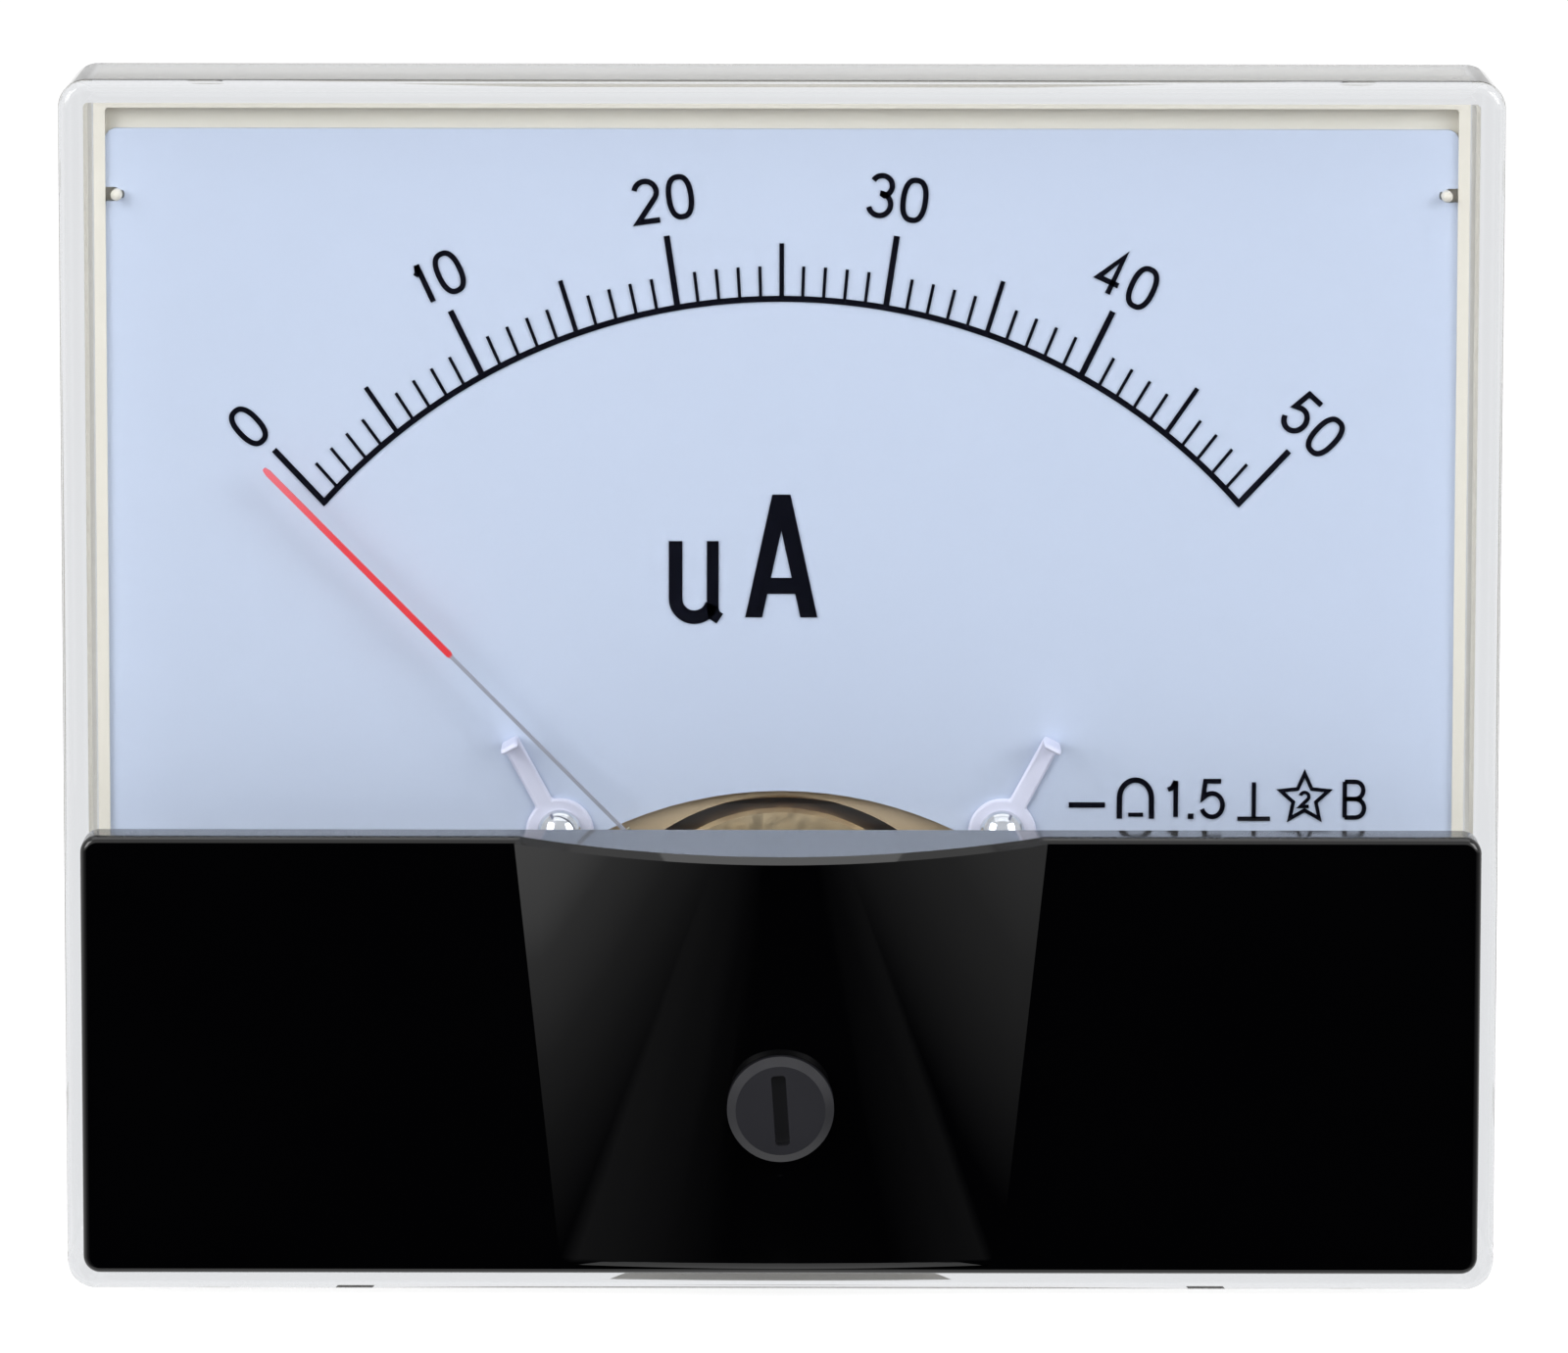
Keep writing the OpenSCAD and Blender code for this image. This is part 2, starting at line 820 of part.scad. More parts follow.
// Plate behind the dial, arched well, and floor that seats the yoke
module movement_frame() {
    color("darkkhaki")
        difference() {
            union() {
                slab(frame_front, frame_front + frame_t)
                    front_plate_outline();
                slab(frame_front, floor_back)
                    well_outline(well_r + well_wall);
                both_sides() {
                    at(dial_screw_x, dial_screw_z)
                        bar(dial_boss_r, frame_front, frame_front + dial_boss_len);
                    at(rear_post_x, pivot_z)
                        bar(rear_post_r, floor_back - step, rear_bridge_front);
                }
            }
            slab(frame_front + frame_t, yoke_back - seat_depth)
                translate([0, well_z])
                    circle(well_r, $fn = 96);
            slab(frame_front - step, frame_front + frame_t + step)
                front_opening();
            at_pivot() {
                bar(yoke_r + turns, yoke_back - seat_depth - step, yoke_back);
                bar(yoke_bore_r, yoke_back - step, floor_back + step);
            }
            both_sides() {
                at(dial_screw_x, dial_screw_z)
                    bar(dial_screw_r + turns, frame_front - step,
                        frame_front + dial_boss_len - 2);
                at(rear_post_x, pivot_z)
                    bar(rear_screw_r + turns, floor_back - rear_screw_bite,
                        rear_bridge_front + step);
                at(low_boss_x, low_boss_z)
                    bar(movement_screw_r + clears, 0, floor_back + step);
                at(high_boss_x, high_boss_z)
                    flush_screw_seat();
                at(bridge_post_x, pivot_z)
                    bar(tenon_r + turns, yoke_back - seat_depth - step,
                        yoke_back + tenon_len + clears);
            }
            at_pivot()
                yoke_pin_places()
                    bar(yoke_pin_r + turns, yoke_back - step, floor_back - 0.4);
        }
}

module front_plate_outline() {
    difference() {
        intersection() {
            circle(frame_edge_r, $fn = 128);
            translate([-plate_hw, pivot_z - plate_drop])
                square([2 * plate_hw, high_boss_z + plate_margin - pivot_z + plate_drop]);
        }
        front_opening();
    }
}

// The well's mouth, drawn in to a narrower arch at the top
module front_opening() {
    reach = 2 * well_r;
    difference() {
        translate([0, well_z])
            circle(well_r, $fn = 96);
        translate([-reach / 2, brow_foot])
            square(reach);
    }
    translate([0, brow_z])
        circle(brow_r);
}

// The well's round top, cut below by the barrel's bore
module well_outline(r) {
    intersection() {
        translate([0, well_z])
            circle(r, $fn = 96);
        circle(frame_edge_r, $fn = 128);
    }
}

module flush_screw_seat() {
    bar(movement_screw_r + clears, frame_front - step, frame_front + frame_t + step);
    bar(movement_head_r + clears, frame_front - step, frame_front + flush_rim + step);
    taper(movement_head_r + clears, movement_screw_r + clears, frame_front + flush_rim,
          frame_front + flush_rim + flush_head_t);
}

module yoke_pin_places() {
    for (a = [-yoke_pin_angle, 180 - yoke_pin_angle])
        rotate([0, a, 0])
            at(0, yoke_pin_at)
                children();
}

module yoke_ring() {
    color("tan")
        at_pivot()
            difference() {
                union() {
                    bar(yoke_r, yoke_front + 0.3, yoke_back);
                    taper(yoke_r - 0.3, yoke_r, yoke_front, yoke_front + 0.3);
                }
                bar(yoke_bore_r, yoke_front - step, yoke_back + step);
                yoke_pin_places()
                    bar(yoke_pin_r + turns, yoke_front - step, yoke_back + step);
            }
}

module yoke_pins() {
    color("silver")
        at_pivot()
            yoke_pin_places()
                bar(yoke_pin_r, yoke_front - 0.6, floor_back - 0.5);
}

module magnet_core() {
    color("dimgray")
        at_pivot()
            difference() {
                bar(core_r, core_front, core_back);
                bar(core_bore_r, core_front - step, core_back + step);
            }
}

// Two brass blocks that hold the core in the middle of the yoke
module core_spacers() {
    color("goldenrod")
        at_pivot()
            intersection() {
                difference() {
                    bar(yoke_bore_r - turns, core_front + spacer_inset, core_back - spacer_inset);
                    bar(core_r + turns, core_front, core_back);
                }
                slab(core_front, core_back)
                    square([spacer_w, 3 * yoke_r], center = true);
            }
}

module front_bridge() {
    color("lightgray")
        at_pivot()
            difference() {
                slab(bridge_front, bridge_back) {
                    square([2 * bridge_post_x, bridge_w], center = true);
                    for (s = [-1, 1])
                        translate([s * bridge_post_x, 0])
                            circle(bridge_w / 2);
                }
                bar(jewel_screw_r + turns, bridge_front - step, bridge_back + step);
                both_sides()
                    at(bridge_post_x, 0)
                        bar(bridge_screw_r + 0.2 + clears, bridge_front - step,
                            bridge_back + step);
            }
}

module bridge_posts() {
    color("peru")
        both_sides()
            at(bridge_post_x, pivot_z)
                difference() {
                    union() {
                        bar(post_r, bridge_back, yoke_back - seat_depth);
                        bar(tenon_r, yoke_back - seat_depth - step, yoke_back + tenon_len);
                    }
                    bar(bridge_screw_r + turns, bridge_back - step,
                        bridge_back + bridge_screw_len);
                }
}

module bridge_screws() {
    color("silver")
        both_sides()
            at(bridge_post_x, pivot_z)
                pan_screw(bridge_screw_r, bridge_head_r, bridge_head_t,
                          bridge_screw_len, bridge_front);
}

module front_jewel_screw() {
    color("goldenrod")
        at_pivot()
            difference() {
                bar(jewel_screw_r, jewel_screw_front, jewel_mouth);
                bar(jewel_r + turns, jewel_mouth - jewel_t, jewel_mouth + step);
                slab(jewel_screw_front - step, jewel_screw_front + 0.5)
                    square([3, 0.4], center = true);
            }
}

module front_jewel() {
    color("crimson")
        at_pivot()
            difference() {
                bar(jewel_r, jewel_mouth - jewel_t, jewel_mouth);
                bar(tip_r + 0.06, tip_front - 0.05, jewel_mouth + step);
            }
}

module jewel_locknut() {
    color("goldenrod")
        at_pivot()
            difference() {
                slab(locknut_back - locknut_t, locknut_back)
                    hexagon(4);
                bar(jewel_screw_r + turns, locknut_back - 2, locknut_back + step);
            }
}

module rear_bridge() {
    color("lightgray")
        at_pivot()
            difference() {
                union() {
                    slab(rear_bridge_front, rear_bridge_back) {
                        square([2 * rear_post_x, bridge_w], center = true);
                        translate([-tab_w / 2, 0])
                            square([tab_w, tab_in + tab_t]);
                        for (s = [-1, 1])
                            translate([s * rear_post_x, 0])
                                circle(rear_post_r);
                    }
                    slab(rear_spring_y - spring_h / 2, rear_bridge_front + step)
                        translate([-tab_w / 2, tab_in])
                            square([tab_w, tab_t]);
                }
                bar(jewel_screw_r + turns, rear_bridge_front - step, rear_bridge_back + step);
                both_sides()
                    at(rear_post_x, 0)
                        bar(rear_screw_r + clears, rear_bridge_front - step,
                            rear_bridge_back + step);
            }
}

module rear_bridge_screws() {
    color("silver")
        both_sides()
            at(rear_post_x, pivot_z)
                mirror([0, 1, 0])
                    pan_screw(rear_screw_r, rear_head_r, rear_head_t,
                              rear_bridge_back - floor_back + rear_screw_bite - clears,
                              -rear_bridge_back);
}

module rear_jewel_screw() {
    color("goldenrod")
        at_pivot()
            difference() {
                bar(jewel_screw_r, rear_bridge_front - clears, rear_jewel_screw_back);
                bar(jewel_r + turns, rear_bridge_front - clears - step,
                    rear_bridge_front - clears + jewel_t);
                slab(rear_jewel_screw_back - 0.5, rear_jewel_screw_back + step)
                    square([3, 0.4], center = true);
            }
}

module rear_jewel() {
    color("crimson")
        at_pivot()
            difference() {
                bar(jewel_r, rear_bridge_front - clears, rear_bridge_front - clears + jewel_t);
                bar(tip_r + 0.06, rear_bridge_front - clears - step, rear_tip_back + 0.05);
            }
}

module rear_hairspring() {
    color("peru")
        at_pivot()
            spring_with_tail(rear_spring_y);
}

// The spiral's outer end turns up to its tab
module spring_with_tail(y) {
    flat_spring(y);
    slab(y - spring_h / 2, y + spring_h / 2)
        translate([-spring_w / 2, spring_end - spring_w])
            square([spring_w, tab_in - spring_end + spring_w]);
}

// ---------- fastenings ----------

module movement_screws() {
    color("silver")
        both_sides() {
            at(low_boss_x, low_boss_z)
                pan_screw(movement_screw_r, movement_head_r, movement_head_t,
                          frame_t + seat_depth + movement_screw_len - screw_spare,
                          yoke_back - seat_depth);
            at(high_boss_x, high_boss_z)
                flush_screw();
        }
}

module flush_screw() {
    difference() {
        union() {
            bar(movement_screw_r, frame_front + 1, frame_front + flush_screw_len);
            taper(movement_head_r, movement_screw_r, frame_front + flush_rim,
                  frame_front + flush_rim + flush_head_t);
        }
        slab(frame_front, frame_front + flush_rim + flush_slot_t)
            square([3 * movement_head_r, flush_slot_w], center = true);
    }
}

module cover_screws() {
    color("silver")
        both_sides()
            at(cover_screw_x, cover_screw_z)
                difference() {
                    union() {
                        bar(cover_screw_r, -cover_screw_len, -1);
                        taper(cover_screw_r, cover_head_r, -flush_rim - cover_head_t,
                              -flush_rim);
                    }
                    slab(-flush_rim - flush_slot_t, 0)
                        square([3 * cover_head_r, flush_slot_w], center = true);
                }
}

// Studs pressed into the flange by a shoulder, with their heads behind the dial
module panel_studs() {
    color("silver")
        both_sides()
            for (z = [-stud_z, stud_z])
                at(stud_x, z) {
                    bar(stud_head_r, -flange_t, stud_head_t - flange_t);
                    bar(stud_shoulder_r, stud_head_t - flange_t - step, 0);
                    bar(stud_r, -step, stud_len - stud_lead);
                    taper(stud_r, stud_r - stud_lead, stud_len - stud_lead, stud_len);
                }
}

module at_terminals() {
    for (s = [-1, 1])
        at(s * terminal_x, terminal_up)
            children();
}

module terminal_studs() {
    color("darkgoldenrod")
        at_terminals() {
            slab(rear_inside - tag_t - terminal_head_t, rear_inside - tag_t)
                hexagon(nut_af);
            bar(terminal_r, rear_inside - tag_t - step, last_nut_back);
            bar(terminal_r - 0.2, last_nut_back - step, last_nut_back + groove_w + step);
            bar(terminal_r, last_nut_back + groove_w, barrel_len + terminal_len - 0.6);
            taper(terminal_r, terminal_r - 0.6, barrel_len + terminal_len - 0.6,
                  barrel_len + terminal_len);
        }
}

// Tags between the stud's head and the rear wall, bent inward to take a lead
module solder_tags() {
    color("silver")
        at_terminals()
            difference() {
                union() {
                    slab(rear_inside - tag_t, rear_inside) {
                        circle(nut_af / 2 + 0.6);
                        translate([-tag_w / 2, 0])
                            square([tag_w, nut_af / 2 + 4]);
                    }
                    slab(rear_inside - tag_leg, rear_inside - tag_t + step)
                        translate([-tag_w / 2, nut_af / 2 + 4 - tag_t])
                            square([tag_w, tag_t]);
                }
                bar(terminal_r + clears, rear_inside - 6, rear_inside + step);
                translate([0, rear_inside - tag_leg + 2 * tag_hole_r, 0])
                    cylinder(r = tag_hole_r, h = 4 * nut_af);
            }
}

module terminal_nuts() {
    color("darkgoldenrod")
        at_terminals()
            for (y = [pad_back, spring_washer_back])
                difference() {
                    slab(y, y + nut_t)
                        hexagon(nut_af);
                    bar(terminal_r + turns, y - step, y + nut_t + step);
                }
}

module terminal_washers() {
    color("darkgoldenrod")
        at_terminals()
            difference() {
                bar(nut_af / 2 + 1, first_nut_back, washer_back);
                bar(terminal_r + clears, first_nut_back - step, washer_back + step);
            }
}

// Split rings
module terminal_spring_washers() {
    color("silver")
        at_terminals()
            difference() {
                bar(nut_af / 2, washer_back, spring_washer_back);
                bar(terminal_r + clears, washer_back - step, spring_washer_back + step);
                slab(washer_back - step, spring_washer_back + step)
                    rotate(20)
                        translate([0, nut_af / 2])
                            square([0.5, nut_af], center = true);
            }
}

// ---------- moving coil ----------

// Frame outline round the core, grown by d, in the plane of the coil
module coil_outline(d) {
    translate([-coil_in - d, coil_front - d])
        square([2 * (coil_in + d), coil_back - coil_front + 2 * d]);
}

module coil_loop(inner, outer, w) {
    translate([0, 0, -w / 2])
        linear_extrude(w)
            difference() {
                coil_outline(outer);
                coil_outline(inner);
            }
}

// Channel of thin sheet, open outward
module coil_former() {
    color("silver")
        at_rest() {
            coil_loop(0, former_t, coil_w);
            for (s = [-1, 1])
                translate([0, 0, s * (coil_w - former_t) / 2])
                    coil_loop(0, coil_t, former_t);
        }
}

module coil_winding() {
    color("chocolate")
        at_rest()
            coil_loop(former_t, coil_t, winding_w);
}

module front_pivot() {
    color("goldenrod")
        at_rest()
            turning_stack(coil_front - coil_t, cross_back, collet_front, tip_front, -1);
}

module rear_pivot() {
    color("goldenrod")
        at_rest()
            turning_stack(coil_back + coil_t, rear_boss_back + step, rear_collet_back,
                          rear_tip_back, 1);
}

// Three threaded arms for the weights, on a small disc
module balance_cross() {
    color("goldenrod")
        at_rest()
            difference() {
                slab(cross_back - cross_t, cross_back) {
                    circle(cross_hub_r);
                    for (a = [90, 180, 270])
                        rotate(a)
                            translate([-cross_arm_w / 2, 0])
                                square([cross_arm_w, cross_reach]);
                }
                bar(staff_r + turns, cross_back - 1, cross_back + step);
            }
}

module balance_weights() {
    color("silver")
        at_rest()
            for (a = [90, 180, 270])
                rotate([0, a, 0])
                    translate([0, cross_back - cross_t / 2, weight_at])
                        difference() {
                            cylinder(r = weight_r, h = weight_len);
                            translate([-cross_arm_w / 2 - turns, -cross_t / 2 - turns, -step])
                                cube([cross_arm_w + 2 * turns, cross_t + 2 * turns,
                                      weight_len + 2 * step]);
                        }
}

// Eye on the staff and tapering channel that grips the pointer
module pointer_socket() {
    color("palegoldenrod")
        at_rest()
            difference() {
                slab(socket_back - socket_t, socket_back) {
                    circle(1.8);
                    polygon([[-0.6, 1], [0.6, 1], [0.35, socket_reach], [-0.35, socket_reach]]);
                }
                bar(staff_r + turns, socket_back - 1, socket_back + step);
                slab(pointer_y - pointer_t / 2, pointer_y + pointer_t / 2)
                    translate([-pointer_w / 2, socket_reach - 3])
                        square([pointer_w, 4]);
            }
}

module pointer() {
    shoulder = pointer_len - pointer_tip_len;
    color("red")
        at_rest()
            slab(pointer_y - pointer_t / 2, pointer_y + pointer_t / 2)
                polygon([
                    [-pointer_w / 2, socket_reach - 3],
                    [pointer_w / 2, socket_reach - 3],
                    [pointer_w / 2, shoulder],
                    [pointer_tip_w / 2, shoulder + 0.3],
                    [pointer_tip_w / 2, pointer_len - 0.4],
                    [pointer_tip_w / 4, pointer_len],
                    [-pointer_tip_w / 4, pointer_len],
                    [-pointer_tip_w / 2, pointer_len - 0.4],
                    [-pointer_tip_w / 2, shoulder + 0.3],
                    [-pointer_w / 2, shoulder],
                ]);
}

// ---------- zero setting ----------

// Slotted head, shank through the mask's bore, and eccentric pin
module zero_adjuster() {
    head_back = pocket_floor - clears;
    head_front = head_back - adjuster_head;
    chamfer = 0.6;
    color("darkslategray")
        at(0, adjuster_z)
            difference() {
                union() {
                    taper(adjuster_r - chamfer, adjuster_r, head_front, head_front + chamfer);
                    bar(adjuster_r, head_front + chamfer - step, head_back);
                    bar(shank_r, head_back - step, window_back + 1);
                    at(0, -pin_offset)
                        bar(pin_r, window_back, pin_tip);
                }
                slab(head_front - step, head_front + 1.2)
                    rotate(slot_lean)
                        rounded(slot_w / 2, -slot_len / 2, slot_len / 2, slot_w / 4);
                difference() {
                    bar(shank_r + 1, boss_back + clears, boss_back + 2 * clears + 0.5);
                    bar(shank_r - 0.3, boss_back, boss_back + 1);
                }
            }
}

// Retaining washer in the shank's groove
module adjuster_washer() {
    color("silver")
        at(0, adjuster_z)
            difference() {
                bar(shank_r + 2, boss_back + clears + turns, boss_back + clears + 0.5);
                bar(shank_r - 0.3 + turns, boss_back, boss_back + 1);
                slab(boss_back, boss_back + 1)
                    translate([-(shank_r - 0.45), 0])
                        square([2 * (shank_r - 0.45), shank_r + 3]);
            }
}

// Stamped lever on the jewel screw: a fork below for the eccentric pin, and a
// tab above that holds the front hairspring
module zero_lever() {
    fork_reach = adjuster_drop + pin_offset + 1.2;
    color("khaki")
        at_pivot()
            difference() {
                union() {
                    slab(lever_front, lever_back) {
                        circle(2.3);
                        translate([-tab_w / 2, 0])
                            square([tab_w, tab_in + tab_t]);
                        translate([-1.5, -fork_reach])
                            square([3, fork_reach]);
                    }
                    slab(lever_back - step, spring_y + spring_h / 2)
                        translate([-tab_w / 2, tab_in])
                            square([tab_w, tab_t]);
                }
                bar(jewel_screw_r + turns, lever_front - step, lever_back + step);
                slab(lever_front - step, lever_back + step)
                    translate([-pin_r - clears, -fork_reach - 1])
                        square([2 * (pin_r + clears), fork_reach - adjuster_drop + pin_r + 2]);
            }
}

module front_hairspring() {
    color("peru")
        at_pivot()
            spring_with_tail(spring_y);
}

front_cover();
mask();
base();
dial_plate();
scale_marks();
left_pointer_stop();
right_pointer_stop();
dial_screws();
movement_frame();
yoke_ring();
yoke_pins();
magnet_core();
core_spacers();
front_bridge();
bridge_posts();
bridge_screws();
front_jewel_screw();
front_jewel();
jewel_locknut();
rear_bridge();
rear_bridge_screws();
rear_jewel_screw();
rear_jewel();
rear_hairspring();
movement_screws();
cover_screws();
panel_studs();
terminal_studs();
solder_tags();
terminal_nuts();
terminal_washers();
terminal_spring_washers();
coil_former();
coil_winding();
front_pivot();
rear_pivot();
balance_cross();
balance_weights();
pointer_socket();
pointer();
zero_adjuster();
adjuster_washer();
zero_lever();
front_hairspring();
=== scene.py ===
"""Panel meter: finishes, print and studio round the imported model.

Every size is in millimetres here and is turned to metres where a mesh is made.
"""

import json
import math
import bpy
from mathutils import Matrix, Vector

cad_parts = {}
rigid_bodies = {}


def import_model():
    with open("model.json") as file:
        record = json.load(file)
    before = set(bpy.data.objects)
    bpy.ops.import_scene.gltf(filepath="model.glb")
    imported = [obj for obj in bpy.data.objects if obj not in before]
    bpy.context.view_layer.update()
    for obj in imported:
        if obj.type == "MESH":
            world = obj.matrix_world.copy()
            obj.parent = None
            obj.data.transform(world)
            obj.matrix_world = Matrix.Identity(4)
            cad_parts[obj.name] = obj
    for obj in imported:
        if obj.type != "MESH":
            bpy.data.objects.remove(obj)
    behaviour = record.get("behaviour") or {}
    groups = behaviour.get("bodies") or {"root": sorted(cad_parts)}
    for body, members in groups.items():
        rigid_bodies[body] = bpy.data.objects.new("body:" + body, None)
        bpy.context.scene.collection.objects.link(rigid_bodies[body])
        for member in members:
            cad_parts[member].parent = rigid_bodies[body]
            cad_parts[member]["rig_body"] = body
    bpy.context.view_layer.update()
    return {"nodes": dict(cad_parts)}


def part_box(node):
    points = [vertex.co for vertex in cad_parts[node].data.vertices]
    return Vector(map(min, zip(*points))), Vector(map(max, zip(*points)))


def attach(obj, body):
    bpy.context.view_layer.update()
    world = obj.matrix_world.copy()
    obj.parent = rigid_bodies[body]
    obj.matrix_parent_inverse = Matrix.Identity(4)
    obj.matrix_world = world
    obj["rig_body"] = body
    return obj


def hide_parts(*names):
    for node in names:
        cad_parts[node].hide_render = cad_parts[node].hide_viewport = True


bl_info = {
    "name": "Panel Meter",
    "version": (1, 0, 0),
    "blender": (4, 5, 0),
    "location": "3D View > Sidebar > Panel Meter",
    "description": "Dresses the moving-coil panel meter and sets up its studio",
    "category": "Object",
}

import bmesh
import bpy
from mathutils import Matrix, Vector

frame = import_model()
NODES = frame["nodes"]
MM = 0.001


def box_mm(node):
    """Lowest and highest corner of a node, in millimetres."""
    low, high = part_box(node)
    return low / MM, high / MM


# ---------- sizes read from the frame ----------

DIAL_FACE = box_mm("dial_plate")[0].y
PRINT_FRONT = box_mm("scale_marks")[0].y
PIVOT_Z = (box_mm("magnet_core")[0].z + box_mm("magnet_core")[1].z) / 2
COVER_LOW = box_mm("front_cover")[0]
FLOOR_Z = COVER_LOW.z

# Sizes that follow the model's own and that its boxes don't give, in millimetres
STUD_R = 1.5
STUD_HEAD_R = 2.7
STUD_HEAD_T = 1.2
STUD_SHOULDER_R = 1.9
TERMINAL_R = 2.0
TERMINAL_HEAD_AF = 7.0
TERMINAL_HEAD_T = 2.4
TERMINAL_GROOVE_W = 0.8
COIL_IN = 8.3
WINDING_T = 0.9
WINDING_SPREAD = 3.2
POINTER_END = 51.6
POINTER_PAINT_FROM = 32.9

# Degrees that the coil and the pointer lean at rest
REST_ANGLE = 44.6

# Millimetres that the painted dial reaches past its plate. The base's rim is 0.2 away,
# so the dial cuts into it by the rest.
DIAL_REACH = 0.25

# Width of the strip at each side of the dial that is moved by that, in millimetres
DIAL_EDGE_STRIP = 1.0

# Depth of a metric thread, for each millimetre of pitch
THREAD_DEPTH = 0.6134

# Depth of the streaks in metal, in millimetres
METAL_DENT = 0.004


# ---------- shader helpers ----------

def add_node(tree, kind, at=(0, 0), **values):
    """Adds a node to a tree, with its place and any settings."""
    node = tree.nodes.new(kind)
    node.location = at
    for name, value in values.items():
        setattr(node, name, value)
    return node


def socket(group, name, kind, in_out, value=None):
    """Adds a named socket to a node group, with its default."""
    made = group.interface.new_socket(name=name, in_out=in_out, socket_type=kind)
    if value is not None:
        made.default_value = value
    return made


def link(tree, a, b):
    """Joins an output to an input."""
    tree.links.new(a, b)


def moulded_skin_group():
    """Fine unevenness of a moulded or painted skin: a height, and a faint tone."""
    group = bpy.data.node_groups.new("moulded_skin", "ShaderNodeTree")
    socket(group, "Vector", "NodeSocketVector", "INPUT")
    socket(group, "Grain Scale", "NodeSocketFloat", "INPUT", 900.0)
    socket(group, "Wave Scale", "NodeSocketFloat", "INPUT", 60.0)
    socket(group, "Height", "NodeSocketFloat", "OUTPUT")
    socket(group, "Tone", "NodeSocketFloat", "OUTPUT")
    g_in = add_node(group, "NodeGroupInput", (-600, 0))
    g_out = add_node(group, "NodeGroupOutput", (400, 0))
    grain = add_node(group, "ShaderNodeTexNoise", (-350, 150))
    grain.inputs["Detail"].default_value = 3.0
    wave = add_node(group, "ShaderNodeTexNoise", (-350, -150))
    wave.inputs["Detail"].default_value = 4.0
    both = add_node(group, "ShaderNodeMath", (0, 100), operation="MULTIPLY_ADD")
    both.inputs[1].default_value = 0.35
    link(group, g_in.outputs["Vector"], grain.inputs["Vector"])
    link(group, g_in.outputs["Vector"], wave.inputs["Vector"])
    link(group, g_in.outputs["Grain Scale"], grain.inputs["Scale"])
    link(group, g_in.outputs["Wave Scale"], wave.inputs["Scale"])
    link(group, grain.outputs["Fac"], both.inputs[0])
    link(group, wave.outputs["Fac"], both.inputs[2])
    link(group, both.outputs[0], g_out.inputs["Height"])
    link(group, wave.outputs["Fac"], g_out.inputs["Tone"])
    return group


def handled_metal_group():
    """Brushed streaks and faint tarnish of small metal parts."""
    group = bpy.data.node_groups.new("handled_metal", "ShaderNodeTree")
    socket(group, "Vector", "NodeSocketVector", "INPUT")
    socket(group, "Streak Scale", "NodeSocketFloat", "INPUT", 1400.0)
    socket(group, "Tarnish Scale", "NodeSocketFloat", "INPUT", 220.0)
    socket(group, "Streak", "NodeSocketFloat", "OUTPUT")
    socket(group, "Tarnish", "NodeSocketFloat", "OUTPUT")
    g_in = add_node(group, "NodeGroupInput", (-700, 0))
    g_out = add_node(group, "NodeGroupOutput", (400, 0))
    stretch = add_node(group, "ShaderNodeMapping", (-500, 150))
    stretch.inputs["Scale"].default_value = (1.0, 0.06, 1.0)
    streak = add_node(group, "ShaderNodeTexNoise", (-300, 150))
    streak.inputs["Detail"].default_value = 2.0
    tarnish = add_node(group, "ShaderNodeTexNoise", (-300, -150))
    tarnish.inputs["Detail"].default_value = 5.0
    tarnish.inputs["Roughness"].default_value = 0.6
    spread = add_node(group, "ShaderNodeMapRange", (0, -150))
    spread.inputs["From Min"].default_value = 0.42
    spread.inputs["From Max"].default_value = 0.68
    link(group, g_in.outputs["Vector"], stretch.inputs["Vector"])
    link(group, stretch.outputs["Vector"], streak.inputs["Vector"])
    link(group, g_in.outputs["Vector"], tarnish.inputs["Vector"])
    link(group, g_in.outputs["Streak Scale"], streak.inputs["Scale"])
    link(group, g_in.outputs["Tarnish Scale"], tarnish.inputs["Scale"])
    link(group, tarnish.outputs["Fac"], spread.inputs["Value"])
    link(group, streak.outputs["Fac"], g_out.inputs["Streak"])
    link(group, spread.outputs["Result"], g_out.inputs["Tarnish"])
    return group


def linear(value):
    """One channel of a colour from its display value to the renderer's."""
    return value / 12.92 if value <= 0.04045 else ((value + 0.055) / 1.055) ** 2.4


def colour(red, green, blue):
    """A colour named by its 0 to 255 display values."""
    return tuple(linear(c / 255.0) for c in (red, green, blue)) + (1.0,)


def new_material(name):
    """A material with its shader, its output and its place on the piece."""
    made = bpy.data.materials.new(name)
    made.use_nodes = True
    tree = made.node_tree
    tree.nodes.clear()
    out = add_node(tree, "ShaderNodeOutputMaterial", (600, 0))
    shader = add_node(tree, "ShaderNodeBsdfPrincipled", (300, 0))
    link(tree, shader.outputs["BSDF"], out.inputs["Surface"])
    place = add_node(tree, "ShaderNodeTexCoord", (-900, 0))
    return made, tree, shader, place


def blend_colours(tree, factor, first, second, at=(0, 0)):
    """A colour mix driven by a value; returns its colour socket."""
    mix = add_node(tree, "ShaderNodeMix", at, data_type="RGBA")
    link(tree, factor, mix.inputs["Factor"])
    mix.inputs["A"].default_value = first
    mix.inputs["B"].default_value = second
    return mix.outputs["Result"]


def ranged(tree, value, low, high, at=(0, 0), from_low=0.3, from_high=0.7):
    """Maps a value's usual spread to a range; returns the result socket."""
    node = add_node(tree, "ShaderNodeMapRange", at)
    node.inputs["From Min"].default_value = from_low
    node.inputs["From Max"].default_value = from_high
    node.inputs["To Min"].default_value = low
    node.inputs["To Max"].default_value = high
    link(tree, value, node.inputs["Value"])
    return node.outputs["Result"]


